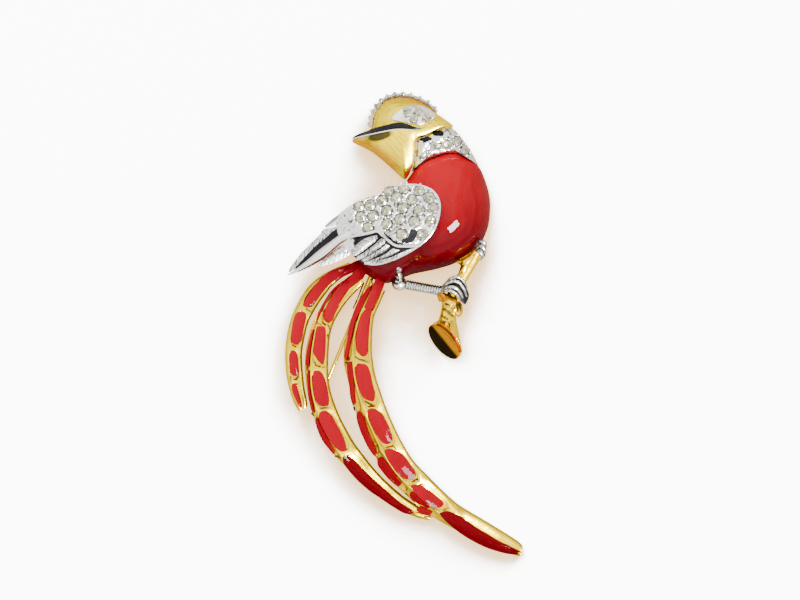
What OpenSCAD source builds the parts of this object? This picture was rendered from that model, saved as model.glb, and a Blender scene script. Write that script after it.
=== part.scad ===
// Figural bird brooch: a long-tailed bird on a branch, lying on its back, face up.
// X runs to the bird's breast, Y to its head, Z out of the face.

/* [Body] */
// Width of the body from the tail root to the breast
body_w = 21; // [19.5:0.5:22.5]
// Length of the body from neck to tail root
body_l = 28; // [26:0.5:30]
// Height of the body above the surface it lies on
body_h = 11; // [10:0.5:12]
// Wall of the hollow body casting
body_wall = 1; // [0.8:0.1:1.3]
// Thickness of the enamel coat on the body
enamel_t = 0.3; // [0.2:0.05:0.4]

/* [Head] */
// Length of the head from beak tip to nape
head_w = 21.4; // [20:0.2:22]
// Height of the head from throat to crest
head_l = 17.8; // [16.8:0.1:18.6]
// Height of the cheek above the surface
head_h = 9.2; // [8.5:0.2:10]
// Width of the rim round the crest
crest_rim_w = 0.65; // [0.55:0.05:0.8]
// Height of the rim round the crest
crest_rim_h = 3.4; // [2.8:0.2:4]
// Length of the brow plate
brow_w = 9.4; // [8.6:0.2:10]
// Width of the brow plate
brow_l = 4.2; // [3.8:0.2:4.6]
// Thickness of the brow plate
brow_t = 0.9; // [0.7:0.1:1.2]
// Widest part of the beak
beak_w = 1.4; // [1.1:0.1:1.6]
// Thickness of the beak
beak_t = 1.1; // [0.8:0.1:1.4]

/* [Collar] */
// Length of the neck collar
collar_l = 8.4; // [7.6:0.2:9]
// Height of the collar above the surface
collar_h = 9; // [8.4:0.2:9.6]

/* [Wing] */
// Length of the wing
wing_l = 31.9; // [29:0.5:34]
// Width of the wing
wing_w = 16.8; // [15.6:0.2:18]
// Thickness of the wing plate
wing_t = 1.5; // [1.3:0.1:1.8]
// Bulge of the wing's shoulder
wing_crown = 0.7; // [0.4:0.1:1]
// Height of the wing's underside at its tip
wing_tip_z = 5; // [4.5:0.1:6]
// Height of the wing's underside at its shoulder
wing_root_z = 10.4; // [10:0.1:11]

/* [Tail] */
// Reach of the tail from its root
tail_l = 60; // [56:1:64]
// Height of the tail's highest ridge
tail_rise = 7.6; // [7:0.1:8.4]
// Widest vane of a tail feather
feather_w = 4.2; // [3.8:0.1:4.6]
// Thickness of a tail feather under its ridge
feather_t = 2.3; // [2:0.1:2.6]
// Depth of the enamel cells
cell_depth = 0.5; // [0.4:0.05:0.6]
// Widest gold rim between the cells and the edges
rim_w = 1; // [0.8:0.1:1.2]

/* [Legs and branch] */
// Diameter of the knee
knee_d = 3.2; // [2.9:0.1:3.5]
// Diameter of the shank
shank_d = 2.3; // [2:0.1:2.6]
// Height of the legs and the branch above the surface
perch_z = 4.7; // [4.3:0.1:5.2]
// Diameter of the branch where the foot grips it
branch_d = 2.4; // [2:0.1:2.8]
// Thickness of a toe
toe_d = 1.6; // [1.4:0.1:1.7]
// Long diameter of the flared branch end
flare_d = 9.1; // [8:0.2:10]

/* [Stones] */
// Diameter of the wing's stones
stone_d = 2.1; // [1.9:0.05:2.2]
// Diameter of the collar's and brow's stones
small_stone_d = 1.9; // [1.7:0.05:2]
// Diameter of the crest rim's stones
rim_stone_d = 0.85; // [0.75:0.05:0.95]

/* [Pin] */
// Length of the pin stem from hinge to point
stem_l = 33.6; // [32:0.2:35]
// Diameter of the pin stem at its root
stem_d = 1.1; // [0.9:0.05:1.2]
// Diameter of the hinge rivet
rivet_d = 0.8; // [0.7:0.05:0.9]
// Thickness of the catch and the hinge ears
finding_t = 0.65; // [0.55:0.05:0.75]

/* [Fits] */
// Gap between pieces that lie on each other
seat_gap = 0.2; // [0.15:0.05:0.3]
// Gap round fitted stones and enamel
fit_gap = 0.05; // [0.04:0.01:0.08]
// Radial clearance of the hinge rivet
rivet_gap = 0.05; // [0.03:0.01:0.08]

/* [Hidden] */
wing_stone_n = 22;
collar_stone_n = 6;
brow_stone_n = 4;
function numbered(name, i) = str(name, i < 9 ? "_0" : "_", i + 1);
$fn = 32;

// Curves through the rows of a table
function mix(a, b, t) = a + (b - a) * t;
function hermite(a, b, c, d, t) =
  0.5 * (2 * b + t * (c - a) + t * t * (2 * a - 5 * b + 4 * c - d) + t * t * t * (3 * b - 3 * c + d - a));
function row(rows, i) = rows[min(max(i, 0), len(rows) - 1)];
function curve_at(rows, u) =
  let (i = min(max(floor(u), 0), len(rows) - 2))
  hermite(row(rows, i - 1), row(rows, i), row(rows, i + 1), row(rows, i + 2), u - i);
function loop_at(rows, u) =
  let (n = len(rows), i = floor(u))
  hermite(rows[(i + n - 1) % n], rows[i % n], rows[(i + 1) % n], rows[(i + 2) % n], u - i);
function loop(rows, n) = [for (k = [0:n - 1]) loop_at(rows, k * len(rows) / n)];
function plan(p) = [p[0], p[1]];
function unit(v) = v / norm(v);

// A closed skin over rings that turn anticlockwise seen from their end, with a point at each end
module skin(rings, first, last) {
  n = len(rings[0]);
  m = len(rings);
  points = concat([for (r = rings) each r], [first, last]);
  start = [for (j = [0:n - 1]) [m * n, j, (j + 1) % n]];
  sides = [for (k = [0:m - 2], j = [0:n - 1], half = [0, 1])
    let (a = k * n + j, b = k * n + (j + 1) % n, c = a + n, d = b + n)
    half == 0 ? [a, d, b] : [a, c, d]];
  end = [for (j = [0:n - 1]) [m * n + 1, (m - 1) * n + (j + 1) % n, (m - 1) * n + j]];
  polyhedron(points, concat(start, sides, end));
}
function middle(ring) = [for (k = [0:2]) [for (p = ring) p[k]] * [for (p = ring) 1 / len(ring)]];

// Domes: an outline of [x, y, foot height, edge height] rises as a quarter ellipse to its centre
dome_angles = [20, 38, 54, 68, 80];
function inset(outline, c, d) =
  [for (p = outline)
    let (q = plan(p) - c, s = 1 - d / norm(q)) [c[0] + q[0] * s, c[1] + q[1] * s, p[2], p[3]]];
function foot_ring(outline) = [for (p = outline) [p[0], p[1], p[2]]];
function edge_ring(outline, drop = 0) = [for (p = outline) [p[0], p[1], p[3] - drop]];
function dome_rings(outline, c, h) =
  [for (a = dome_angles) [for (p = outline)
    [mix(c[0], p[0], cos(a)), mix(c[1], p[1], cos(a)), mix(p[3], h, sin(a))]]];
function reversed(list) = [for (i = [len(list) - 1:-1:0]) list[i]];

// Share of the way from the centre to the outline, and the edge height there
function reach(outline, c, p) =
  let (n = len(outline), q = p - c)
  [for (j = [0:n - 1])
    let (a = plan(outline[j]) - c, b = plan(outline[(j + 1) % n]) - c)
    if (cross(a, q) >= 0 && cross(q, b) > 0)
      let (s = cross(q, b - a) / cross(a, b), t = norm(q / s - a) / norm(b - a))
      [s, mix(outline[j][3], outline[(j + 1) % n][3], t)]][0];
function dome_z(outline, c, h, p) =
  norm(p - c) < 0.01 ? h : let (r = reach(outline, c, p)) mix(r[1], h, sqrt(max(0, 1 - r[0] * r[0])));

// Patches: a plate over an outline, between two surfaces that are functions of the plan point
patch_shares = [0.3, 0.62, 0.86];
function patch_ring(outline, c, s, f) =
  [for (p = outline) let (q = mix(c, plan(p), s)) [q[0], q[1], f(q)]];
module patch(outline, c, under, top) {
  low = [for (s = concat(patch_shares, [1])) patch_ring(outline, c, s, under)];
  high = [for (s = concat([1, 0.97], reversed(patch_shares))) patch_ring(outline, c, s, top)];
  skin(concat(low, [high[0]], [for (k = [1:len(high) - 1]) high[k]]),
    [c[0], c[1], under(c)], [c[0], c[1], top(c)]);
}

// Places a child on a surface, turned to stand square on it
slope_step = 0.4;
module on_surface(p, f) {
  dx = (f(p + [slope_step, 0]) - f(p - [slope_step, 0])) / (2 * slope_step);
  dy = (f(p + [0, slope_step]) - f(p - [0, slope_step])) / (2 * slope_step);
  translate([p[0], p[1], f(p)])
    rotate([0, atan(norm([dx, dy])), norm([dx, dy]) == 0 ? 0 : atan2(-dy, -dx)])
      children();
}

// Stones: eight-sided brilliants, table up, girdle just above the metal
table_share = 0.56;
crown_share = 0.16;
girdle_share = 0.04;
pavilion_share = 0.36;
function octagon(d, z, turn) =
  [for (i = [0:7]) [d / 2 * cos(45 * i + turn), d / 2 * sin(45 * i + turn), z]];
module stone(d) {
  color("lightyellow")
    translate([0, 0, girdle_share * d])
      skin([octagon(d, -girdle_share * d, 0), octagon(d, 0, 0), octagon(d * table_share, crown_share * d, 22.5)],
        [0, 0, -(girdle_share + pavilion_share) * d], [0, 0, crown_share * d]);
}
// The seat sunk into the metal for a stone
module seat(d) {
  deep = pavilion_share * d + 2 * fit_gap;
  wide = d + 4 * fit_gap;
  translate([0, 0, -deep])
    cylinder(h = deep + d, d1 = 0.25 * wide, d2 = 0.25 * wide + 0.75 * wide * (deep + d) / deep, $fn = 8);
}
// A cast bead beside a stone, which holds it
bead_d = 0.5;
module bead() {
  hull() {
    translate([0, 0, -bead_d])
      cylinder(h = bead_d, d = bead_d, $fn = 6);
    cylinder(h = bead_d * 0.6, d = bead_d * 0.5, $fn = 6);
  }
}

// Body: [x, y, foot, edge] as shares of width, length and height, from the highest point
body_rows = [
  [0.45, 0, 0, 0.08], [0.445, 0.105, 0, 0.08], [0.41, 0.21, 0, 0.1], [0.34, 0.322, 0, 0.3],
  [0.22, 0.397, 0, 0.45], [0.06, 0.424, 0, 0.5], [-0.1, 0.397, 0, 0.5], [-0.26, 0.341, 0, 0.45],
  [-0.38, 0.24, 0, 0.3], [-0.5, 0.105, 0, 0.1], [-0.58, -0.03, 0, 0.08], [-0.65, -0.165, 0, 0.08],
  [-0.76, -0.277, 0.12, 0.2], [-0.88, -0.36, 0.25, 0.34], [-0.86, -0.435, 0.25, 0.34],
  [-0.74, -0.51, 0.25, 0.34], [-0.6, -0.547, 0.25, 0.34], [-0.49, -0.525, 0.12, 0.2],
  [-0.34, -0.48, 0, 0.08], [-0.1, -0.442, 0, 0.08], [0.09, -0.397, 0, 0.08], [0.24, -0.33, 0, 0.08],
  [0.36, -0.24, 0, 0.08], [0.43, -0.12, 0, 0.08]];
body_c = [8.75, 24.14];
body_outline = [for (p = loop(body_rows, 40))
  [body_c[0] + p[0] * body_w, body_c[1] + p[1] * body_l, max(0, p[2]) * body_h, p[3] * body_h]];
function body_z(p) = dome_z(body_outline, body_c, body_h, p);
// The casting under the enamel, and its hollow
under_enamel = enamel_t + 2 * fit_gap;
casting_outline = inset(body_outline, body_c, under_enamel);
casting_h = body_h - under_enamel;
hollow_outline = inset(body_outline, body_c, under_enamel + body_wall);
hollow_h = casting_h - body_wall;
function hollow_z(p) = dome_z(hollow_outline, body_c, hollow_h, p);
module body_casting() {
  color("gold")
    skin(concat(
      reversed(dome_rings(hollow_outline, body_c, hollow_h)),
      [edge_ring(hollow_outline), foot_ring(hollow_outline)],
      [foot_ring(body_outline), edge_ring(body_outline, fit_gap), edge_ring(casting_outline, fit_gap)],
      dome_rings(casting_outline, body_c, casting_h)),
      [body_c[0], body_c[1], hollow_h], [body_c[0], body_c[1], casting_h]);
}
module body_enamel() {
  inner = inset(body_outline, body_c, enamel_t);
  color("crimson")
    skin(concat(
      reversed(dome_rings(inner, body_c, body_h - enamel_t)), [edge_ring(inner), edge_ring(body_outline)],
      dome_rings(body_outline, body_c, body_h)),
      [body_c[0], body_c[1], body_h - enamel_t], [body_c[0], body_c[1], body_h]);
}

// Collar: rows of [x, y along the body, y along the collar, foot, edge], from the neck's middle
neck_c = [body_c[0], body_c[1] + 0.4125 * body_l];
neck_w = 0.62 * body_w;
collar_rows = [
  [0.532, -0.071, 0, 0.1, 0.35], [0.387, 0, 0.163, 0.1, 0.4], [0.266, 0, 0.425, 0.1, 0.4],
  [0.153, 0, 0.617, 0.1, 0.4], [-0.024, 0, 0.6, 0.1, 0.5], [-0.177, 0, 0.455, 0.1, 0.6],
  [-0.306, 0, 0.375, 0.1, 0.6], [-0.442, 0, 0.317, 0.1, 0.55], [-0.465, 0, 0.1, 0.1, 0.5],
  [-0.484, -0.041, 0, 0.1, 0.4], [-0.54, -0.116, 0, 0.1, 0.35], [-0.419, -0.052, 0, 0.1, 0.6],
  [-0.161, 0.006, 0, 0.1, 0.72], [0.097, 0.03, 0, 0.1, 0.72], [0.363, 0.006, 0, 0.1, 0.6]];
collar_outline = [for (p = loop(collar_rows, 26))
  [neck_c[0] + p[0] * neck_w, neck_c[1] + p[1] * body_l + p[2] * collar_l, p[3] * collar_h, p[4] * collar_h]];
collar_c = neck_c + [-0.05 * neck_w, 0.28 * collar_l];
function collar_z(p) = dome_z(collar_outline, collar_c, collar_h, p);
collar_stone_rows = [
  [-0.395, 0.02], [-0.325, 0.2], [-0.17, 0.23], [0.0, 0.24], [0.17, 0.33], [0.3, 0.12]];
function collar_stone_at(i) =
  neck_c + [collar_stone_rows[i][0] * neck_w, collar_stone_rows[i][1] * collar_l];
module collar() {
  color("silver")
    difference() {
      union() {
        skin(concat([foot_ring(collar_outline), edge_ring(collar_outline)],
          dome_rings(collar_outline, collar_c, collar_h)),
          [collar_c[0], collar_c[1], 0.1 * collar_h], [collar_c[0], collar_c[1], collar_h]);
        for (i = [0:collar_stone_n - 1], side = i < 3 ? [-1, 1] : [1])
          on_surface(collar_stone_at(i), function(p) collar_z(p))
            rotate([0, 0, 112.5])
              translate([side * (small_stone_d + bead_d) * 0.53, 0, 0])
                bead();
      }
      for (i = [0:collar_stone_n - 1])
        on_surface(collar_stone_at(i), function(p) collar_z(p))
          seat(small_stone_d);
    }
}
module collar_stone(i) {
  on_surface(collar_stone_at(i), function(p) collar_z(p))
    stone(small_stone_d);
}

// Head: [x, y, foot, edge] from the cheek's middle
head_rows = [
  [0.442, 0.108, 0.2, 0.6], [0.343, 0.192, 0.2, 0.5], [0.236, 0.306, 0.2, 0.4], [0.098, 0.378, 0.2, 0.4],
  [-0.039, 0.396, 0.2, 0.4], [-0.157, 0.354, 0.2, 0.4], [-0.24, 0.258, 0.2, 0.4], [-0.285, 0.144, 0.2, 0.4],
  [-0.304, 0.024, 0.2, 0.45], [-0.393, -0.048, 0.3, 0.5], [-0.481, -0.108, 0.35, 0.5],
  [-0.471, -0.148, 0.35, 0.5], [-0.358, -0.21, 0.3, 0.5], [-0.265, -0.276, 0.25, 0.45],
  [-0.177, -0.36, 0.2, 0.4], [-0.088, -0.456, 0.2, 0.4], [-0.01, -0.542, 0.2, 0.4], [0.034, -0.57, 0.2, 0.4],
  [0.075, -0.504, 0.2, 0.45], [0.112, -0.396, 0.2, 0.5], [0.126, -0.252, 0.2, 0.6], [0.14, -0.12, 0.2, 0.7],
  [0.23, -0.075, 0.2, 0.75], [0.31, -0.025, 0.2, 0.75], [0.41, 0.03, 0.2, 0.7], [0.5, 0.04, 0.2, 0.6]];
head_c = neck_c + [-0.258 * neck_w - 0.275 * head_w, 0.425 * collar_l + 0.096 * head_l];
head_outline = [for (p = loop(head_rows, 52))
  [head_c[0] + p[0] * head_w, head_c[1] + p[1] * head_l, p[2] * head_h, p[3] * head_h]];
function head_z(p) = dome_z(head_outline, head_c, head_h, p);
module head() {
  color("gold")
    skin(concat([foot_ring(head_outline), edge_ring(head_outline)], dome_rings(head_outline, head_c, head_h)),
      [head_c[0], head_c[1], 0.2 * head_h], [head_c[0], head_c[1], head_h]);
}

// Crest rim: follows the head's outline from the forehead to the nape, scalloped on its outer side
crest_from = 1.1;
crest_to = 7.9;
crest_scallops = 12;
crest_z = 0.42 * head_h;
function crest_edge(u) = let (p = loop_at(head_rows, u)) head_c + [p[0] * head_w, p[1] * head_l];
function crest_out(u) =
  let (t = crest_edge(u + 0.3) - crest_edge(u - 0.3)) unit([t[1], -t[0]]);
function crest_u(i, n) = mix(crest_from, crest_to, i / n);
function crest_section(u, w) =
  let (e = crest_edge(u), n = crest_out(u), a = e + n * seat_gap, b = e + n * (seat_gap + w))
  [[a[0], a[1], crest_z - crest_rim_h / 2], [a[0], a[1], crest_z + crest_rim_h / 2],
   [b[0], b[1], crest_z + crest_rim_h * 0.35], [b[0], b[1], crest_z - crest_rim_h / 2]];
module crest_rim() {
  steps = crest_scallops * 3;
  rings = [for (i = [0:steps])
    crest_section(crest_u(i, steps), crest_rim_w * (0.72 + 0.28 * abs(sin(180 * crest_scallops * i / steps))))];
  color("silver")
    skin(rings, middle(rings[0]), middle(rings[steps]));
}
module crest_stones() {
  for (i = [0:crest_scallops - 1]) {
    u = crest_u(i + 0.5, crest_scallops);
    p = crest_edge(u) + crest_out(u) * (seat_gap + rim_stone_d * 0.5);
    translate([p[0], p[1], crest_z + crest_rim_h / 2 + fit_gap + (girdle_share + pavilion_share) * rim_stone_d])
      stone(rim_stone_d);
  }
}

// Brow plate: a leaf that lies on the head over the eye
brow_rows = [
  [0.491, 0.125], [0.246, 0.485], [-0.045, 0.51], [-0.29, 0.25], [-0.491, -0.175],
  [-0.29, -0.3], [-0.067, -0.41], [0.179, -0.475], [0.424, -0.2]];
brow_c = head_c + [0.108 * head_w, 0.156 * head_l];
brow_outline = [for (p = loop(brow_rows, 18)) brow_c + [p[0] * brow_w, p[1] * brow_l]];
brow_stone_rows = [[-0.13, 0.16], [0.12, 0.2], [0.31, -0.1], [0.02, -0.2]];
function brow_stone_at(i) = brow_c + [brow_stone_rows[i][0] * brow_w, brow_stone_rows[i][1] * brow_l];
function brow_z(p) = head_z(p) + seat_gap + brow_t;
module brow_plate() {
  color("silver")
    patch(brow_outline, brow_c, function(p) head_z(p) + seat_gap, function(p) brow_z(p));
}
module brow_stone(i) {
  lift = fit_gap + (girdle_share + pavilion_share) * small_stone_d;
  on_surface(brow_stone_at(i), function(p) brow_z(p) + lift)
    stone(small_stone_d);
}

// Beak: a crescent of [x, y, width] along the gape
beak_rows = [
  [-0.493, -0.09, 0.15], [-0.393, -0.055, 0.55], [-0.265, -0.005, 0.75], [-0.118, 0.02, 0.95],
  [-0.01, 0.03, 1], [0.08, 0.005, 0.75], [0.17, -0.01, 0.25]];
beak_steps = 12;
function beak_at(i) = curve_at(beak_rows, i * (len(beak_rows) - 1) / beak_steps);
function beak_point(i, side) =
  let (p = beak_at(i)) head_c + [p[0] * head_w, p[1] * head_l + side * p[2] * beak_w / 2];
function beak_section(i) =
  let (a = beak_point(i, -1), b = beak_point(i, 1), c = (a + b) / 2,
    low = max(head_z(a), head_z(b), head_z(c)) + seat_gap, t = beak_t * (0.35 + 0.65 * beak_at(i)[2]))
  [[a[0], a[1], low], [b[0], b[1], low], [b[0], b[1], low + 0.6 * t], [c[0], c[1], low + t],
   [a[0], a[1], low + 0.6 * t]];
module beak() {
  rings = [for (i = [0:beak_steps]) reversed(beak_section(i))];
  color("dimgray")
    skin(rings, middle(rings[0]), middle(rings[beak_steps]));
}

// Wing: a plate that lies on the body's dome, with blades and a ridge raised on it
wing_rows = [
  [0.312, 0.212], [0.303, 0.325], [0.279, 0.4], [0.217, 0.471], [0.118, 0.502], [0.05, 0.495], [-0.02, 0.475],
  [-0.072, 0.406], [-0.145, 0.36], [-0.237, 0.287], [-0.296, 0.206], [-0.342, 0.138], [-0.362, 0],
  [-0.336, -0.175], [-0.276, -0.338], [-0.197, -0.45], [-0.118, -0.491], [-0.01, -0.45], [0.099, -0.357],
  [0.171, -0.275], [0.241, -0.163], [0.29, -0.005]];
wing_c = body_c + [-0.54 * body_w, -0.12 * body_l];
wing_outline = [for (p = loop(wing_rows, 33)) wing_c + [p[0] * wing_l, p[1] * wing_w]];
wing_tip_share = -0.68;
wing_root_share = 0.31;
function wing_plane(p) =
  let (t = ((p[0] - wing_c[0]) / wing_l - wing_tip_share) / (wing_root_share - wing_tip_share))
  mix(wing_tip_z, wing_root_z, t);
// The underside keeps off the body's dome, also between the points of its mesh
wing_reach = 1.3;
function wing_under(p) =
  let (around = [[0, 0], [1, 0], [-1, 0], [0, 1], [0, -1]])
  max(wing_plane(p), seat_gap + max([for (q = around) body_z(p + q * wing_reach)]));
function wing_bulge(p) =
  let (q = [(p[0] - wing_c[0]) / (0.36 * wing_l), (p[1] - wing_c[1]) / (0.52 * wing_w)])
  max(0, 1 - q[0] * q[0] - q[1] * q[1]);
function wing_top(p) = wing_under(p) + wing_t + wing_crown * wing_bulge(p);
// Blades and ridge: rows of [x, y, half width], and how high each lies
blade_tables = [
  [[-0.25, 0.15, 0.6], [-0.434, -0.138, 0.55], [-0.599, -0.425, 0.35], [-0.678, -0.562, 0.1]],
  [[-0.263, -0.075, 0.45], [-0.428, -0.287, 0.45], [-0.579, -0.494, 0.25], [-0.681, -0.613, 0.08]],
  [[-0.105, -0.175, 0.3], [-0.276, -0.312, 0.45], [-0.458, -0.479, 0.12]],
  [[-0.079, -0.212, 0.25], [-0.224, -0.369, 0.2]],
  [[0.132, -0.312, 0.2], [-0.013, -0.388, 0.33], [-0.165, -0.456, 0.15]],
  [[-0.296, -0.15, 0.12], [-0.079, -0.095, 0.12], [0.033, -0.277, 0.12], [0.158, -0.27, 0.12]]];
blade_lifts = [0.35, 0.8, 0.75, 0.95, 0.95, 1.15];
blade_w = 4.2;
blade_sides = 6;
module blade(rows, lift) {
  for (i = [0:len(rows) - 2])
    hull()
      for (r = [rows[i], rows[i + 1]]) {
        p = wing_c + [r[0] * wing_l, r[1] * wing_w];
        translate([p[0], p[1], wing_under(p) + lift * wing_t])
          scale([r[2] * blade_w, r[2] * blade_w, 0.4 * wing_t])
            sphere(r = 1, $fn = blade_sides);
      }
}
wing_stone_rows = [
  [-0.021, 0.431], [0.077, 0.456], [0.176, 0.425], [0.241, 0.338], [0.03, 0.346], [0.129, 0.314],
  [-0.063, 0.306], [0.07, 0.212], [-0.142, 0.25], [-0.214, 0.237], [0.266, 0.206], [0.176, 0.182],
  [-0.034, 0.18], [-0.204, 0.106], [0.053, 0.074], [-0.124, 0.118], [0.252, 0.051], [0.145, 0.043],
  [-0.033, 0.018], [-0.155, -0.03], [0.062, -0.115], [0.196, -0.116]];
function wing_stone_at(i) = wing_c + [wing_stone_rows[i][0] * wing_l, wing_stone_rows[i][1] * wing_w];
module wing() {
  color("silver")
    difference() {
      union() {
        patch(wing_outline, wing_c, function(p) wing_under(p), function(p) wing_top(p));
        for (i = [0:len(blade_tables) - 1])
          blade(blade_tables[i], blade_lifts[i]);
      }
      for (i = [0:wing_stone_n - 1])
        on_surface(wing_stone_at(i), function(p) wing_top(p))
          seat(stone_d);
    }
}
module wing_stone(i) {
  on_surface(wing_stone_at(i), function(p) wing_top(p))
    stone(stone_d);
}

// Tail: rows of [x, y, ridge height, left width, right width] from the tail root
tail_root = body_c + [-0.74 * body_w, -0.465 * body_l];
left_rows = [
  [-0.063, 0.03, 0.66, 0.15, 0.26], [-0.119, 0.007, 0.7, 0.15, 0.4], [-0.165, -0.016, 0.74, 0.15, 0.55],
  [-0.194, -0.037, 0.78, 0.15, 0.65], [-0.219, -0.063, 0.82, 0.15, 0.68], [-0.238, -0.091, 0.86, 0.15, 0.68],
  [-0.254, -0.122, 0.9, 0.15, 0.65], [-0.27, -0.158, 0.93, 0.15, 0.65], [-0.281, -0.196, 0.96, 0.15, 0.65],
  [-0.288, -0.238, 0.98, 0.15, 0.62], [-0.292, -0.28, 1, 0.15, 0.6], [-0.291, -0.322, 1, 0.15, 0.6],
  [-0.287, -0.364, 0.99, 0.15, 0.57], [-0.278, -0.406, 0.97, 0.15, 0.5], [-0.264, -0.448, 0.94, 0.15, 0.4],
  [-0.247, -0.483, 0.9, 0.1, 0.2]];
middle_rows = [
  [-0.038, 0, 0.68, 0.15, 0.5], [-0.077, -0.025, 0.72, 0.15, 0.6], [-0.119, -0.061, 0.77, 0.15, 0.65],
  [-0.154, -0.105, 0.82, 0.15, 0.68], [-0.18, -0.15, 0.87, 0.2, 0.68], [-0.198, -0.203, 0.91, 0.25, 0.7],
  [-0.207, -0.256, 0.95, 0.3, 0.75], [-0.212, -0.301, 0.98, 0.28, 0.78], [-0.214, -0.35, 1, 0.25, 0.8],
  [-0.21, -0.406, 1, 0.25, 0.82], [-0.199, -0.458, 0.99, 0.25, 0.85], [-0.182, -0.507, 0.97, 0.28, 0.85],
  [-0.156, -0.564, 0.93, 0.3, 0.85], [-0.122, -0.619, 0.88, 0.25, 0.8], [-0.086, -0.668, 0.82, 0.15, 0.78],
  [-0.04, -0.721, 0.74, 0.15, 0.7], [0.012, -0.768, 0.65, 0.15, 0.6], [0.07, -0.808, 0.57, 0.15, 0.45],
  [0.126, -0.838, 0.49, 0.15, 0.33], [0.175, -0.859, 0.43, 0.12, 0.2], [0.206, -0.867, 0.4, 0.1, 0.1]];
right_rows = [
  [0.017, -0.035, 0.66, 0.15, 0.52], [-0.004, -0.07, 0.7, 0.2, 0.58], [-0.025, -0.112, 0.76, 0.25, 0.6],
  [-0.044, -0.154, 0.82, 0.3, 0.7], [-0.058, -0.203, 0.88, 0.38, 0.82], [-0.066, -0.252, 0.93, 0.42, 0.88],
  [-0.068, -0.301, 0.97, 0.42, 0.93], [-0.063, -0.35, 1, 0.35, 0.95], [-0.052, -0.406, 1, 0.35, 1],
  [-0.037, -0.455, 0.99, 0.38, 1], [-0.021, -0.5, 0.97, 0.4, 1], [-0.002, -0.546, 0.94, 0.42, 1],
  [0.019, -0.592, 0.9, 0.42, 1], [0.042, -0.637, 0.86, 0.42, 1], [0.07, -0.682, 0.81, 0.42, 0.97],
  [0.103, -0.723, 0.76, 0.42, 0.95], [0.142, -0.761, 0.7, 0.42, 0.93], [0.182, -0.8, 0.63, 0.42, 0.9],
  [0.231, -0.842, 0.56, 0.3, 0.85], [0.294, -0.891, 0.49, 0.15, 0.88], [0.371, -0.934, 0.42, 0.15, 0.8],
  [0.452, -0.971, 0.35, 0.15, 0.6], [0.527, -0.994, 0.3, 0.12, 0.2]];
// Cells: [from row, to row, has a narrow cell on its left too, rim at its right in shares of the widest]
left_cells = [
  [0.4, 5.3, false, 0.4], [6.2, 9.2, false, 0.5], [9.9, 12.1, false, 0.4], [12.6, 14.8, false, 0.35]];
middle_cells = [
  [0.4, 4.2, false, 0.4], [4.85, 7.3, true, 0.5], [7.9, 10.3, true, 0.7], [10.8, 13.1, true, 0.7],
  [13.6, 18.4, false, 0.5]];
right_cells = [
  [0.1, 2.1, false, 0.3], [2.4, 5.9, true, 0.4], [6.4, 9.3, true, 0.8], [9.8, 12.5, true, 0.8],
  [13.1, 15.5, true, 0.7], [16, 18, true, 0.7], [18.7, 21.8, false, 0.7]];
// Rims at the left edge and on both sides of the ridge, in shares of the widest
left_rim = 0.1;
left_ridge = 0.16;
right_ridge = 0.26;
// How far the outer ends of a cell lie behind its ridge end, in rows
cell_slant = 0.35;
left_slope = 0.85;
right_slope = 0.12;
wall_flare = 0.35;
draft = 0.06;
cell_end = 0.12;

// A point of a feather: u along, v across from -1 at the left edge to 1 at the right, down from the surface
function tail_row(rows, u) =
  let (p = curve_at(rows, u))
  [tail_root[0] + p[0] * tail_l, tail_root[1] + p[1] * tail_l, p[2] * tail_rise,
   p[3] * feather_w, p[4] * feather_w];
function tail_side(rows, u) =
  let (t = plan(tail_row(rows, u + 0.1)) - plan(tail_row(rows, u - 0.1))) unit([-t[1], t[0]]);
function held(rows, u) = min(max(u, 0.1), len(rows) - 1.1);
function tail_point(rows, u, mm, down) =
  let (near = tail_row(rows, u), w = mm < 0 ? near[3] : near[4], share = min(1, abs(mm) / w),
    v = held(rows, u + cell_slant * share), p = tail_row(rows, v), n = tail_side(rows, v),
    slope = mm < 0 ? left_slope : right_slope)
  [p[0] + n[0] * mm, p[1] + n[1] * mm, p[2] - slope * min(abs(mm), w) - down];
// Half the width that a cell keeps at u: it narrows towards its rounded ends
function pinch(cell, u) =
  let (t = min(u - cell[0], cell[1] - u) / 0.5) t >= 1 ? 1 : 0.45 + 0.55 * sqrt(max(0, 1 - (1 - t) * (1 - t)));
// Across stations of a cell's floor, on the right or the left of the ridge
function cell_span(rows, cell, u, side, gap) =
  let (p = tail_row(rows, held(rows, u)), w = side < 0 ? p[3] : p[4],
    from = rim_w * (side < 0 ? left_ridge : right_ridge) + gap,
    to = max(from + 0.12, w - rim_w * (side < 0 ? left_rim : cell[3]) - gap), mid = (from + to) / 2,
    half = (to - from) / 2 * pinch(cell, u))
  [side * (mid - half), side * (mid + half)];
function feather_section(rows, cell, u, sunk, two_sided) =
  let (p = tail_row(rows, held(rows, u)),
    r = cell_span(rows, cell, u, 1, 0), l = cell_span(rows, cell, u, -1, 0),
    dr = sunk ? cell_depth : 0, dl = sunk && cell[2] ? cell_depth * 0.6 : 0,
    left = two_sided ? [[l[1] - draft, 0], [l[1], dl], [l[0], dl], [l[0] + draft, 0]] : [],
    right = [[r[0] - draft, 0], [r[0], dr], [r[1], dr], [r[1] + draft, 0]],
    top = [for (s = concat([[-p[3], 0]], left, [[0, 0]], right, [[p[4], 0]])) tail_point(rows, u, s[0], s[1])],
    low = max(0, p[2] - feather_t),
    left_foot = tail_point(rows, u, -p[3] - wall_flare * 0.3, 0),
    right_foot = tail_point(rows, u, p[4] + wall_flare, 0))
  concat([[left_foot[0], left_foot[1], low]], top, [[right_foot[0], right_foot[1], low]]);
function cell_stations(c) =
  let (inner = max(1, ceil(c[1] - c[0] - 1.4)))
  concat([c[0] + 0.2, c[0] + 0.5], [for (k = [1:inner]) mix(c[0] + 0.5, c[1] - 0.5, k / (1 + inner))],
    [c[1] - 0.5, c[1] - 0.2]);
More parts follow.
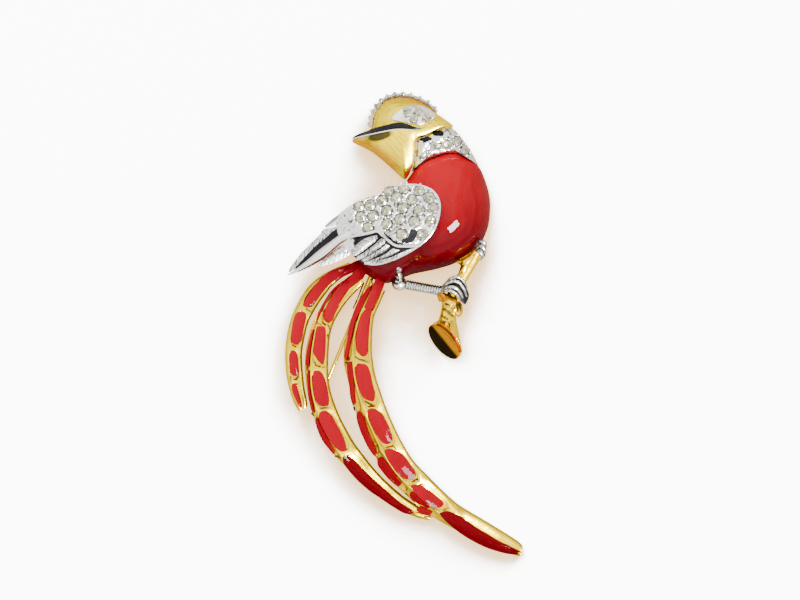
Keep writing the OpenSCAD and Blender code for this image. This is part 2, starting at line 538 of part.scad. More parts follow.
function feather_stations(rows, cells) =
  concat([[cells[0], 0, false]],
    [for (c = cells) each concat([[c, c[0] - cell_end, false], [c, c[0], true]],
      [for (u = cell_stations(c)) [c, u, true]], [[c, c[1], true], [c, c[1] + cell_end, false]])],
    [[cells[len(cells) - 1], len(rows) - 1.1, false]]);
module feather(rows, cells) {
  two_sided = max([for (c = cells) c[2] ? 1 : 0]) == 1;
  rings = [for (s = feather_stations(rows, cells)) feather_section(rows, s[0], s[1], s[2], two_sided)];
  color("gold")
    skin(rings, middle(rings[0]), middle(rings[len(rings) - 1]));
}
// The enamel that fills one cell, crowned a little
end_gap = 0.04;
function filling_section(rows, cell, u, span_u, side) =
  let (s = cell_span(rows, cell, span_u, side, fit_gap + draft), depth = cell_depth * (side < 0 ? 0.6 : 1),
    low = depth - fit_gap, a = side < 0 ? s[1] : s[0], b = side < 0 ? s[0] : s[1])
  [tail_point(rows, u, a, low), tail_point(rows, u, a, fit_gap), tail_point(rows, u, (a + b) / 2, 0),
   tail_point(rows, u, b, fit_gap), tail_point(rows, u, b, low)];
module fillings(rows, cells) {
  color("crimson")
    for (c = cells, side = c[2] ? [-1, 1] : [1]) {
      us = cell_stations(c);
      rings = concat([filling_section(rows, c, c[0] + end_gap, c[0], side)],
        [for (u = us) filling_section(rows, c, u, u, side)],
        [filling_section(rows, c, c[1] - end_gap, c[1], side)]);
      skin(rings, middle(rings[0]), middle(rings[len(rings) - 1]));
    }
}

// Branch: rows of [x, y, radius] from where the foot grips it, then the oblique flared end
grip = body_c + [0.098 * body_w, -0.596 * body_l];
branch_rows = [
  [3.9, 6.7, 1], [2.8, 4.95, 1.02], [1.5, 2.8, 1.02], [0, 0, 1.02], [-0.97, -1.95, 1.06], [-1.05, -2.25, 1.6],
  [-1.3, -2.95, 1.6], [-1.4, -3.3, 1.25], [-1.6, -4.9, 1.3], [-1.75, -6.6, 1.6]];
// A cut twig on the branch's outer side, and the fork behind the bird
knob_at = [0.75, -4.1];
fork_at = [2.1, 5.7];
flare_c = grip + [-1.95, -10.5];
flare_axis = [0.63, -0.77, 0];
flare_normal = [-0.7, -0.57, 0.42];
branch_sides = 14;
function branch_ring(i) =
  let (r = branch_rows[i], a = row(branch_rows, i - 1), b = row(branch_rows, i + 1),
    d = unit([b[0] - a[0], b[1] - a[1]]), s = [-d[1], d[0]])
  [for (k = [0:branch_sides - 1])
    let (t = 360 * k / branch_sides, w = r[2] * branch_d / 2)
    [grip[0] + r[0] + s[0] * w * cos(t), grip[1] + r[1] + s[1] * w * cos(t), perch_z + w * sin(t)]];
function flare_ring(share, out) =
  let (u = flare_axis, v = cross(flare_normal, flare_axis))
  [for (k = [0:branch_sides - 1])
    let (t = 360 * k / branch_sides)
    [flare_c[0], flare_c[1], perch_z] + flare_normal * out
      + (u * cos(t) + v * sin(t)) * flare_d / 2 * share];
module branch() {
  rings = concat([for (i = [0:len(branch_rows) - 1]) branch_ring(i)],
    [flare_ring(0.97, -0.25), flare_ring(1, 0), flare_ring(0.85, 0.3)]);
  color("gold") {
    skin(rings, middle(rings[0]), middle(rings[len(rings) - 1]) + flare_normal * 0.2);
    translate([grip[0] - 1.5, grip[1] + knob_at[1], perch_z])
      rotate([0, 90, 0])
        cylinder(h = knob_at[0] + 1.5, d1 = branch_d * 0.6, d2 = branch_d * 0.75, $fn = 12);
    translate([grip[0] + fork_at[0], grip[1] + fork_at[1], perch_z])
      rotate([0, 90, -30])
        cylinder(h = branch_d * 0.6, d = branch_d * 0.55, $fn = 12);
  }
}

// Legs
leg_from = body_c + [-0.465 * body_w, -0.57 * body_l];
branch_dir = unit([branch_rows[2][0] - branch_rows[3][0], branch_rows[2][1] - branch_rows[3][1]]);
grip_r = branch_d / 2 * 1.08 + seat_gap + toe_d / 2;
toe_pitch = 0.9 * toe_d;
rib_pitch = 0.62;
rib_d = 0.16;
// Knee and ribbed shank in one turned profile, from the knee's middle
function leg_profile(run) =
  let (turn = acos((shank_d - 2 * rib_d) / knee_d), from = knee_d / 2 * sin(turn),
    ribs = floor((run - from) / rib_pitch), step = (run - from) / ribs, steps = 6)
  concat([for (k = [0:steps])
      let (a = mix(-90, turn, k / steps)) [k == 0 ? 0 : knee_d / 2 * cos(a), knee_d / 2 * sin(a)]],
    [for (k = [0:ribs - 1], e = [0.5, 1]) [shank_d / 2 - (e == 1 ? rib_d : 0), from + (k + e) * step]],
    [[0, run]]);
// Three toes side by side round the branch, in section
function toes_profile() =
  concat([[grip_r - toe_d / 2, -toe_pitch - toe_d * 0.4]],
    [for (i = [-1:1], a = [-60:30:60]) [grip_r + toe_d / 2 * cos(a), i * toe_pitch + toe_d / 2 * sin(a)]],
    [[grip_r - toe_d / 2, toe_pitch + toe_d * 0.4]]);
module near_leg() {
  to = grip - unit(grip - leg_from) * grip_r;
  run = norm(to - leg_from);
  angle = atan2(to[1] - leg_from[1], to[0] - leg_from[0]);
  color("silver") {
    translate([leg_from[0], leg_from[1], perch_z]) {
      rotate([0, 90, angle])
        rotate_extrude()
          polygon(leg_profile(run));
      rotate([-42, 0, 8])
        cylinder(h = knee_d * 0.95, d1 = knee_d * 0.6, d2 = knee_d * 0.4);
    }
    translate([grip[0], grip[1], perch_z])
      rotate([0, 90, atan2(branch_dir[1], branch_dir[0])])
        rotate_extrude()
          polygon(toes_profile());
  }
}
module far_foot() {
  color("silver")
    for (r = [[5.25, 6.9, 0.7], [5.45, 8.2, 0.95], [5.8, 9.5, 0.8]])
      translate([grip[0] + r[0], grip[1] + r[1], perch_z])
        sphere(r = r[2]);
}

// Pin: the stem swings out of the catch at a slant, about a rivet that is tilted as much
stem_dir = 247.4;
swing_tilt = 45;
hinge_at = body_c + [-0.695 * body_w, -0.39 * body_l];
knuckle_r = rivet_d / 2 + rivet_gap + 0.75;
knuckle_w = 1.2;
ear_gap = 0.08;
ear_at = knuckle_w / 2 + ear_gap;
// The lower ear just reaches the surface that the brooch lies on
stem_z = (ear_at + finding_t) * sin(swing_tilt) + knuckle_r * cos(swing_tilt);
// X along the stem, Z square to the rivet and away from the mouth of the catch
module pin_frame() {
  translate([hinge_at[0], hinge_at[1], stem_z])
    rotate([0, 0, stem_dir])
      rotate([swing_tilt, 0, 0])
        children();
}
module pin_stem() {
  color("gold")
    pin_frame()
      difference() {
        union() {
          rotate([90, 0, 0])
            cylinder(h = knuckle_w, r = knuckle_r, center = true);
          rotate([0, 90, 0]) {
            cylinder(h = 0.75 * stem_l, d1 = stem_d, d2 = 0.65 * stem_d);
            translate([0, 0, 0.75 * stem_l])
              cylinder(h = 0.25 * stem_l, d1 = 0.65 * stem_d, d2 = 0.12 * stem_d);
          }
        }
        rotate([90, 0, 0])
          cylinder(h = 2 * knuckle_w, r = rivet_d / 2 + rivet_gap, center = true);
      }
}
// The hinge: two ears with a rivet, on a base that stands against the hollow's ceiling
base_r = 1.1;
base_z = stem_z + 1.7;
ear_l = 2;
base_top = min([for (t = [0:15:345]) hollow_z(hinge_at + base_r * [cos(t), sin(t)])]) - 2 * seat_gap;
module pin_hinge() {
  color("gold") {
    pin_frame() {
      rotate([90, 0, 0])
        cylinder(h = 2 * (ear_at + finding_t), r = rivet_d / 2, center = true);
      for (side = [-1, 1])
        translate([0, side * (ear_at + finding_t / 2), 0]) {
          rotate([90, 0, 0])
            cylinder(h = finding_t, r = knuckle_r, center = true);
          translate([-knuckle_r, -finding_t / 2, 0])
            cube([2 * knuckle_r, finding_t, ear_l]);
        }
      translate([-knuckle_r, -ear_at - finding_t, knuckle_r + 0.2])
        cube([2 * knuckle_r, 2 * (ear_at + finding_t), finding_t]);
    }
    translate([hinge_at[0], hinge_at[1], base_z])
      cylinder(h = base_top - base_z, r = base_r);
  }
}
// The catch: a hook that hangs from the middle feather's underside and opens on the side of the swing
catch_at = stem_l - 2.6;
catch_p = hinge_at + catch_at * [cos(stem_dir), sin(stem_dir)];
catch_l = 1.8;
function nearest_row(rows, p) =
  let (us = [for (u = [0:0.1:len(rows) - 1.1]) u], far = [for (u = us) norm(plan(tail_row(rows, u)) - p)])
  us[search(min(far), far)[0]];
catch_top = tail_row(middle_rows, nearest_row(middle_rows, catch_p))[2] - feather_t - seat_gap - stem_z;
module pin_catch() {
  inner_r = stem_d / 2 + fit_gap;
  outer_r = inner_r + finding_t;
  color("gold")
    translate([catch_p[0], catch_p[1], stem_z])
      rotate([0, 0, stem_dir])
        difference() {
          union() {
            rotate([0, 90, 0])
              cylinder(h = catch_l, r = outer_r, center = true);
            translate([-catch_l / 2, -outer_r, 0])
              cube([catch_l, 2 * outer_r, catch_top]);
            translate([-catch_l, -outer_r, catch_top - finding_t])
              cube([2 * catch_l, 2 * outer_r, finding_t]);
          }
          rotate([swing_tilt, 0, 0]) {
            rotate([0, 90, 0])
              cylinder(h = 2 * catch_l, r = inner_r, center = true);
            translate([-catch_l, -inner_r, -2 * outer_r])
              cube([2 * catch_l, 2 * inner_r, 2 * outer_r]);
          }
        }
}

body_casting();
body_enamel();
head();
crest_rim();
crest_stones();
brow_plate();
beak();
collar();
wing();
feather(left_rows, left_cells);  // tail_feather_left
feather(middle_rows, middle_cells);  // tail_feather_middle
feather(right_rows, right_cells);  // tail_feather_right
fillings(left_rows, left_cells);  // tail_enamel_left
fillings(middle_rows, middle_cells);  // tail_enamel_middle
fillings(right_rows, right_cells);  // tail_enamel_right
near_leg();
far_foot();
branch();
pin_hinge();
pin_catch();
pin_stem();
for (i = [0:wing_stone_n - 1])
  wing_stone(i);
for (i = [0:collar_stone_n - 1])
  collar_stone(i);
for (i = [0:brow_stone_n - 1])
  brow_stone(i);
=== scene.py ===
import math

import bmesh
import bpy
from mathutils import Matrix, Vector
from mathutils.bvhtree import BVHTree


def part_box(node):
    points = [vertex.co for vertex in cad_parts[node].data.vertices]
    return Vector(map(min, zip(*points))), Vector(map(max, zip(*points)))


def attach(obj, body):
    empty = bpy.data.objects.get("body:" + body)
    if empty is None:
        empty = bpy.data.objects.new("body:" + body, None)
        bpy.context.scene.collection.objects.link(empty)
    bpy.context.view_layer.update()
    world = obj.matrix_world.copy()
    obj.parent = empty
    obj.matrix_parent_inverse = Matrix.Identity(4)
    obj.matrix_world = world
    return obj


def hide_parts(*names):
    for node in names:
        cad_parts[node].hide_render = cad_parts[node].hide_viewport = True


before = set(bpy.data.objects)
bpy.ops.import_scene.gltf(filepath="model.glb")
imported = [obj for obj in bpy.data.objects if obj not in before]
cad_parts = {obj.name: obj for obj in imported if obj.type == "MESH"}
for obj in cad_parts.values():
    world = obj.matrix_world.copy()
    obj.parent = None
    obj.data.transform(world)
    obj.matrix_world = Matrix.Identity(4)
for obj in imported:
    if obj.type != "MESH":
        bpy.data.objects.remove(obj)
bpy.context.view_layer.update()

# Body casting, with the hinge and the catch soldered inside it: zinc alloy cast hollow,
# then plated with polished gold. It shows as the rim under the enamel and from the back.
MM = 0.001


def join(socket, value):
    """Links another node's output to a socket, or stores a value or a colour there."""
    if isinstance(value, bpy.types.NodeSocket):
        socket.id_data.links.new(value, socket)
    elif socket.type == "RGBA":
        socket.default_value = (*value, 1.0)
    else:
        socket.default_value = value


def feed(node, **inputs):
    """Fills a node's inputs by their names."""
    for name, value in inputs.items():
        join(node.inputs[name.replace("_", " ")], value)


def add_node(tree, kind, settings=None, **inputs):
    node = tree.nodes.new("ShaderNode" + kind)
    for name, value in (settings or {}).items():
        setattr(node, name, value)
    feed(node, **inputs)
    return node


def object_place(tree):
    return add_node(tree, "TexCoord").outputs["Object"]


def spread(tree, value, low, high, start=0.0, end=1.0, way="LINEAR"):
    """Turns the stretch from low to high into the one from start to end."""
    return add_node(tree, "MapRange", {"interpolation_type": way}, Value=value, From_Min=low, From_Max=high,
                    To_Min=start, To_Max=end).outputs["Result"]


def reckon(tree, operation, *values, clamp=False):
    """A sum or a product of values and other nodes' outputs."""
    node = add_node(tree, "Math", {"operation": operation, "use_clamp": clamp})
    for socket, value in zip(node.inputs, values):
        join(socket, value)
    return node.outputs[0]


def colour_mix(tree, factor, first, second, blend="MIX"):
    mix = add_node(tree, "Mix", {"data_type": "RGBA", "blend_type": blend})
    for index, value in ((0, factor), (6, first), (7, second)):
        join(mix.inputs[index], value)
    return mix.outputs[2]


def relief(tree, height, strength, depth):
    """The normals of a fine relief, depth in metres."""
    return add_node(tree, "Bump", Height=height, Strength=strength, Distance=depth).outputs["Normal"]


def plated_surface():
    """Slow tone changes and a fine grain, as plating over a cast surface has."""
    group = bpy.data.node_groups.new("plated_surface", "ShaderNodeTree")
    for name, kind, way in (("Place", "Vector", "INPUT"), ("Grain", "Float", "INPUT"),
                            ("Tone", "Float", "OUTPUT"), ("Height", "Float", "OUTPUT")):
        group.interface.new_socket(name, in_out=way, socket_type="NodeSocket" + kind)
    given = group.nodes.new("NodeGroupInput").outputs
    tone = add_node(group, "TexNoise", Vector=object_place(group), Scale=260.0, Detail=4.0, Roughness=0.6)
    grain = add_node(group, "TexNoise", Vector=given["Place"], Scale=given["Grain"], Detail=5.0,
                     Roughness=0.65)
    feed(group.nodes.new("NodeGroupOutput"), Tone=tone.outputs["Fac"], Height=grain.outputs["Fac"])
    return group


surface_group = plated_surface()


def new_material(name):
    """A new material, its node tree and its shader."""
    material = bpy.data.materials.new(name)
    material.use_nodes = True
    return material, material.node_tree, material.node_tree.nodes["Principled BSDF"]


def plated(name, bright, deep, painted_shade, polish=(0.14, 0.3), grain=1400.0, bump=0.12, warm_reflection=None, strokes=False,
           cut=0.0, cut_colour=None, cut_end=0.47):
    """A plated metal of two tones, with the roughness of each in polish. It darkens to the shade
    colour where the piece's painted shade attribute says so, for painted shade and dark reflections,
    and turns to a painted warm reflection where its warm reflection attribute does. The low parts of
    its grain take the cut colour, and with strokes the grain runs along the piece's flow attribute."""
    material, tree, shader = new_material(name)

    def stored(attribute, output="Fac"):
        return add_node(tree, "Attribute", {"attribute_name": attribute}).outputs[output]

    surface = add_node(tree, "Group", {"node_tree": surface_group}, Grain=grain,
                       Place=stored("flow", "Vector") if strokes else object_place(tree)).outputs
    colour = colour_mix(tree, surface["Tone"], bright, deep)
    if cut:
        colour = colour_mix(tree, spread(tree, surface["Height"], 0.4, cut_end, cut, 0.0), colour, cut_colour)
    if warm_reflection:
        colour = colour_mix(tree, stored("warm_reflection"), colour, warm_reflection)
    shade_mask = stored("painted_shade")
    rough = spread(tree, surface["Tone"], 0.35, 0.65, *polish)
    feed(shader, Metallic=1.0, Specular_Tint=bright, Base_Color=colour_mix(tree, shade_mask, colour, painted_shade),
         Roughness=reckon(tree, "MULTIPLY_ADD", shade_mask, 0.3, rough),
         Normal=relief(tree, surface["Height"], bump, 0.00012))
    return material


def dress(node_name, material):
    """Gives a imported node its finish."""
    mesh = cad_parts[node_name].data
    mesh.materials.clear()
    mesh.materials.append(material)


cast_gold = plated("cast_gold", (0.95, 0.66, 0.03), (0.8, 0.46, 0.01), (0.12, 0.06, 0.02))
for name in ("body_casting", "pin_hinge", "pin_catch"):
    dress(name, cast_gold)

# Body enamel: glossy translucent red, flooded over the whole dome and fired. Its colour is
# painted brighter over the breast and deeper towards the tail, as shade from light falling from above.
BODY_MIDDLE = (8.75, 24.14)
BODY_SIZE = (21.0, 28.0, 11.0, 11.0)
BODY_HEIGHT = 11.0
ENAMEL_THICK = 0.3
body_shares = [
    (0.45, 0, 0, 0.08), (0.445, 0.105, 0, 0.08), (0.41, 0.21, 0, 0.1), (0.34, 0.322, 0, 0.3),
    (0.22, 0.397, 0, 0.45), (0.06, 0.424, 0, 0.5), (-0.1, 0.397, 0, 0.5), (-0.26, 0.341, 0, 0.45),
    (-0.38, 0.24, 0, 0.3), (-0.5, 0.105, 0, 0.1), (-0.58, -0.03, 0, 0.08), (-0.65, -0.165, 0, 0.08),
    (-0.76, -0.277, 0.12, 0.2), (-0.88, -0.36, 0.25, 0.34), (-0.86, -0.435, 0.25, 0.34),
    (-0.74, -0.51, 0.25, 0.34), (-0.6, -0.547, 0.25, 0.34), (-0.49, -0.525, 0.12, 0.2),
    (-0.34, -0.48, 0, 0.08), (-0.1, -0.442, 0, 0.08), (0.09, -0.397, 0, 0.08), (0.24, -0.33, 0, 0.08),
    (0.36, -0.24, 0, 0.08), (0.43, -0.12, 0, 0.08)]


def placed_rows(rows, middle, size):
    """Rows of shares turned into millimetres: x and y about the middle, then heights."""
    offsets = (*middle, 0, 0)
    return [tuple(v * s + offset for v, s, offset in zip(row, size, offsets)) for row in rows]


def closed_curve(rows, count):
    """Points evenly along a smooth closed curve through rows, of any number of columns."""
    n = len(rows)
    curve = []
    for k in range(count):
        u = k * n / count
        i = int(u)
        t = u - i
        a, b, c, d = (rows[(i + j) % n] for j in (-1, 0, 1, 2))
        curve.append(tuple(0.5 * (2 * q + t * (r - p) + t * t * (2 * p - 5 * q + 4 * r - s)
                                  + t ** 3 * (3 * q - 3 * r + s - p)) for p, q, r, s in zip(a, b, c, d)))
    return curve


def lay_plate(outline, centre, top, under, shares, under_shares):
    """A closed plate over an outline: from its rim it runs ring by ring to the centre, over the
    top and then the underside. top and under give a height from x, y, the share of the way to
    the rim and the outline's own row."""
    bm = bmesh.new()
    spoke = bm.verts.layers.int.new("spoke")
    circle = bmesh.ops.create_circle(bm, segments=len(outline), radius=MM)["verts"]
    for i, v in enumerate(circle):
        v[spoke] = i

    def place(verts, share, surface):
        for v in verts:
            row = outline[v[spoke]]
            x, y = (centre[m] + (row[m] - centre[m]) * share for m in (0, 1))
            v.co = Vector((x, y, surface(x, y, share, row))) * MM

    def sweep(edges, steps, surface):
        for share in steps:
            made = bmesh.ops.extrude_edge_only(bm, edges=edges)["geom"]
            verts = [g for g in made if isinstance(g, bmesh.types.BMVert)]
            known = set(verts)
            edges = [g for g in made if isinstance(g, bmesh.types.BMEdge) and set(g.verts) <= known]
            place(verts, share, surface)
        hub = Vector((*centre, surface(*centre, 0, outline[0]))) * MM
        bmesh.ops.pointmerge(bm, verts=verts, merge_co=hub)

    rim = list(bm.edges)
    place(circle, 1.0, under)
    sweep(rim, shares, top)
    sweep(rim, under_shares, under)
    return bm


def dome_shares(count):
    """Ring shares that keep a dome's steep side smooth, from the rim inwards."""
    return [math.cos(math.radians(90 * k / count)) for k in range(count)] + [0.004]


def even_shares(count):
    return [1 - 0.99 * k / count for k in range(count + 1)]


def new_object(name, data):
    thing = bpy.data.objects.new(name, data)
    bpy.context.scene.collection.objects.link(thing)
    return thing


def make_piece(bm, name, material, replaced=(), sharp=None):
    """Turns a bmesh into a piece of the brooch. sharp is the angle in degrees that stays an edge."""
    bmesh.ops.recalc_face_normals(bm, faces=bm.faces)
    for face in bm.faces:
        face.smooth = True
    mesh = bpy.data.meshes.new(name)
    bm.to_mesh(mesh)
    bm.free()
    if sharp:
        mesh.set_sharp_from_angle(angle=math.radians(sharp))
    mesh.materials.append(material)
    piece = new_object(name, mesh)
    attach(piece, "brooch")
    if replaced:
        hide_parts(*replaced)
    return piece


def enamel(name, bright, deep, low, high, coat):
    """Fired enamel under a clear coat: deep in colour where Y is low mm, bright where it is high mm. On the
    body this change is painted shade, and the stretched cloud's soft streaks are partly the enamel's own
    uneven colour and partly painted soft reflections.
    """
    material, tree, shader = new_material(name)
    place = object_place(tree)
    drawn = add_node(tree, "Mapping", {"vector_type": "POINT"}, Vector=place, Scale=(1, 0.25, 1))
    flow = add_node(tree, "TexNoise", Vector=drawn.outputs["Vector"], Scale=320.0, Detail=2.0, Distortion=0.4)
    cloud = flow.outputs["Fac"]
    along = spread(tree, add_node(tree, "SeparateXYZ", Vector=place).outputs["Y"], low * MM, high * MM)
    share = reckon(tree, "SUBTRACT", reckon(tree, "MULTIPLY_ADD", cloud, 0.7, along), 0.35, clamp=True)
    feed(shader, Coat_Weight=coat, Coat_Roughness=0.02, Specular_IOR_Level=0.0,
         Base_Color=colour_mix(tree, share, deep, bright), Roughness=spread(tree, cloud, 0.0, 1.0, 0.2, 0.35),
         Normal=relief(tree, cloud, 0.05, 0.0003))
    return material


def over(height, thick=0.0):
    """A dome from the rim's own height, a row's fourth column, to height at the middle."""
    return lambda x, y, share, row: row[3] + (height - thick - row[3]) * math.sqrt(max(0, 1 - share * share))


# Painted shade: the body's red is bright high up and deep low down.
body_red = enamel("body_red_enamel", (0.25, 0.0008, 0.005), (0.1, 0.0006, 0.004), 12, 29, coat=0.17)
body_outline = closed_curve(placed_rows(body_shares, BODY_MIDDLE, BODY_SIZE), 200)
body = make_piece(
    lay_plate(body_outline, BODY_MIDDLE, over(BODY_HEIGHT), over(BODY_HEIGHT, ENAMEL_THICK), dome_shares(40),
              [0.97 * s for s in dome_shares(12)]), "enamelled_body", body_red,
    ["body_enamel"], sharp=60)

# Collar: a cast silver-coloured band round the neck, set with clear stones between small beads,
# with two plain flaps and two black pockets of painted shade at the top. A plain plated strip lies in the
# groove to the head.
silver = plated("rhodium_plate", (0.93, 0.91, 0.87), (0.7, 0.68, 0.64), (0.012, 0.012, 0.012),
                polish=(0.1, 0.26), grain=1300.0, bump=1.0, cut=0.97, cut_colour=(0.06, 0.06, 0.055),
                cut_end=0.45)
bright_silver = plated("bright_rhodium", (0.95, 0.94, 0.92), (0.82, 0.8, 0.77), (0.02, 0.02, 0.02),
                       polish=(0.06, 0.16), bump=0.05)
# Black put where there is only shade: painted shade in the collar's pockets, and in the wing's gaps, pocket
# and ridge.
shade_black = plated("painted_shade_black", (0.02, 0.02, 0.022), (0.008, 0.008, 0.009), (0.0, 0.0, 0.0),
                     polish=(0.25, 0.45))


FAR_ABOVE = 50


def surface_of(*pieces):
    """The height of pieces' surfaces, to lay other pieces on."""
    trees = []
    for piece in pieces:
        bm = bmesh.new()
        bm.from_mesh(piece.data)
        trees.append(BVHTree.FromBMesh(bm))
        bm.free()

    def height(x, y, floor=0.5):
        hits = [tree.ray_cast(Vector((x, y, FAR_ABOVE)) * MM, Vector((0, 0, -1)))[0] for tree in trees]
        return max([floor] + [hit.z / MM for hit in hits if hit])
    return height


def faceted_glass(name, tint):
    """Clear foiled glass with a faint colour. Its small cells, dark or bright at random, are painted facet
    reflections.
    """
    material, tree, shader = new_material(name)
    foil = add_node(tree, "TexVoronoi", {"feature": "F1"}, Vector=object_place(tree), Scale=2100.0).outputs
    sparkle = add_node(tree, "SeparateColor", Color=foil["Color"]).outputs
    dark = tuple(c * 0.16 for c in tint)
    feed(shader, IOR=1.6, Metallic=0.5, Coat_Weight=0.6, Coat_Roughness=0.02,
         Base_Color=colour_mix(tree, sparkle[0], dark, tint),
         Roughness=spread(tree, sparkle[1], 0.0, 1.0, 0.03, 0.16),
         Normal=relief(tree, foil["Distance"], 0.7, 0.00016))
    return material


champagne = faceted_glass("champagne_stone", (0.62, 0.6, 0.38))


def set_stones(kind, count):
    """Dresses the stones of a set and gives the middle of each, in millimetres."""
    names = ["%s_stone_%02d" % (kind, i + 1) for i in range(count)]
    for name in names:
        dress(name, champagne)
    return [tuple((low[m] + high[m]) / 2 / MM for m in (0, 1)) for low, high in map(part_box, names)]


UNDERSIDE = -0.3


def paint(piece, shade, attribute="painted_shade"):
    """Stores shade(x, y, z), in millimetres, on the points of a piece; undersides stay plain."""
    layer = piece.data.attributes.new(attribute, "FLOAT", "POINT")
    for v, stored in zip(piece.data.vertices, layer.data):
        if v.normal.z >= UNDERSIDE:
            stored.value = min(1.0, max(0.0, shade(*(v.co / MM))))


BEAD_GAP = 0.5


def bead_ring(stones, radius, count, clear):
    """Places for beads round the stones, clear of every stone."""
    spots = []
    for x, y in stones:
        for k in range(count):
            angle = math.tau * k / count + 0.5 * math.sin(x * 7 + y * 3)
            spot = (x + radius * math.cos(angle), y + radius * math.sin(angle))
            clear_of_stones = all(math.dist(spot, s) > clear for s in stones)
            if clear_of_stones and all(math.dist(spot, s) > BEAD_GAP for s in spots):
                spots.append(spot)
    return spots


def beads(name, spots, height, radius, material):
    """Small cast beads pushed up round the stones."""
    bm = bmesh.new()
    for x, y in spots:
        middle = Vector((x, y, height(x, y) + radius * 0.2)) * MM
        bmesh.ops.create_icosphere(bm, subdivisions=1, radius=radius * MM, matrix=Matrix.Translation(middle))
    make_piece(bm, name, material)


def leaf(name, rows, base, lift, crown, depth, material, count=48, rings=6, replaced=(),
         centre=None):
    """A low crowned leaf laid on a surface."""
    centre = centre or tuple(sum(p[m] for p in rows) / len(rows) for m in (0, 1))

    def top(x, y, share, row):
        return base(x, y) + lift + crown * (1 - share ** 2)

    def under(x, y, share, row):
        return max(0.05, base(x, y) + lift - depth)
    bm = lay_plate(closed_curve(rows, count), centre, top, under, even_shares(rings), even_shares(2)[1:])
    return make_piece(bm, name, material, replaced, sharp=50)


COLLAR_MIDDLE = (8.099, 38.042)
COLLAR_HEIGHT = 9.0
collar_edge = [
    (15.58, 33.66), (13.8, 37), (12.33, 38.99), (10.96, 40.61), (9.6, 41.24), (7.71, 40.94), (6.03, 40.23),
    (4.56, 39.39), (2.96, 38.59), (2.63, 36.58), (2.33, 34.48), (1.62, 32.38), (3.09, 33.8), (6.55, 35.42),
    (9.91, 36.13), (13.17, 35.5)]
collar_heights = (3.2, 3.8, 4.6, 5.4, 6.8, 7.6, 7.9, 7.9, 7.7, 7.4, 6.6, 4.6, 6.6, 7.6, 7.4, 5.8)
collar_outline = closed_curve([(x, y, 0.9, z) for (x, y), z in zip(collar_edge, collar_heights)], 220)
collar_stones = set_stones("collar", 6)


def near_stone(x, y, stones):
    """How far the middle of the nearest stone is."""
    return min(math.dist((x, y), s) for s in stones)


def seated(face, stones, radius, depth):
    """A face with a sunk ring round each stone and a low swell between them."""
    def top(x, y, share, row):
        ring = max(0.0, 1 - abs(near_stone(x, y, stones) - radius) / 0.35)
        return face(x, y, share, row) - depth * ring + 0.05 * math.sin(x * 5.1) * math.sin(y * 4.7)
    return top


collar = make_piece(
    lay_plate(collar_outline, COLLAR_MIDDLE, seated(over(COLLAR_HEIGHT), collar_stones, 1.02, 0.2),
              lambda x, y, share, row: 0.1 * COLLAR_HEIGHT, dome_shares(44), even_shares(3)[1:]),
    "collar_band", silver, replaced=["collar"], sharp=60)
# Painted shade in the sunk ring round each stone.
paint(collar, lambda x, y, z: max(0.0, 1.1 - abs(near_stone(x, y, collar_stones) - 1.05) / 0.25))
collar_height = surface_of(collar)
beads("collar_beads", bead_ring(collar_stones, 1.25, 7, 1.15), collar_height, 0.27, silver)


def level(z):
    return lambda x, y: z


NECK_LEVEL = 4.6


def collar_face(x, y):
    """The collar's face, and no lower than where it goes under the head."""
    return max(NECK_LEVEL, collar_height(x, y))


leaf("neck_groove", [
    (2.25, 39.1), (4.14, 40.04), (6.24, 40.78), (8.76, 41.53), (10.23, 41.3), (8.34, 40.36), (5.82, 39.31),
    (3.51, 38.05), (2.88, 35.11), (1.83, 33.01), (0.57, 31.54), (1.2, 34.69), (1.83, 37.21)],
    level(NECK_LEVEL), 0.0, 0.0, 1.0, silver, count=90, rings=3, centre=(2.67, 38.47))
# The two pockets are black pieces of painted shade.
leaf("collar_pocket_left", [
    (2.96, 38.68), (3.4, 39.18), (4.35, 39.28), (5.48, 39.22), (5.53, 38.63), (4.24, 38.49)], collar_face,
    0.7, 0.03, 1.2, shade_black, count=30, rings=3)
leaf("collar_pocket_right", [
    (6.01, 40.02), (6.24, 40.57), (7.08, 40.63), (8.13, 40.27), (8.05, 39.73), (7.08, 39.73)], collar_face,
    0.7, 0.03, 1.2, shade_black, count=30, rings=3)
leaf("collar_flap_left", [
    (2.96, 38.38), (4.27, 38.4), (5.4, 38.49), (5.06, 37.84), (4.43, 37), (3.8, 36.07), (3.01, 35.74),
    (2.88, 37)], collar_height, 0.4, 0.25, 0.8, bright_silver, count=40, rings=5)
leaf("collar_flap_right", [
    (5.78, 39.6), (6.97, 39.56), (8.38, 39.56), (8.55, 38.89), (8.21, 38.26), (6.87, 38.13), (5.82, 38.3)],
    collar_height, 0.45, 0.25, 0.8, bright_silver, count=40, rings=5)

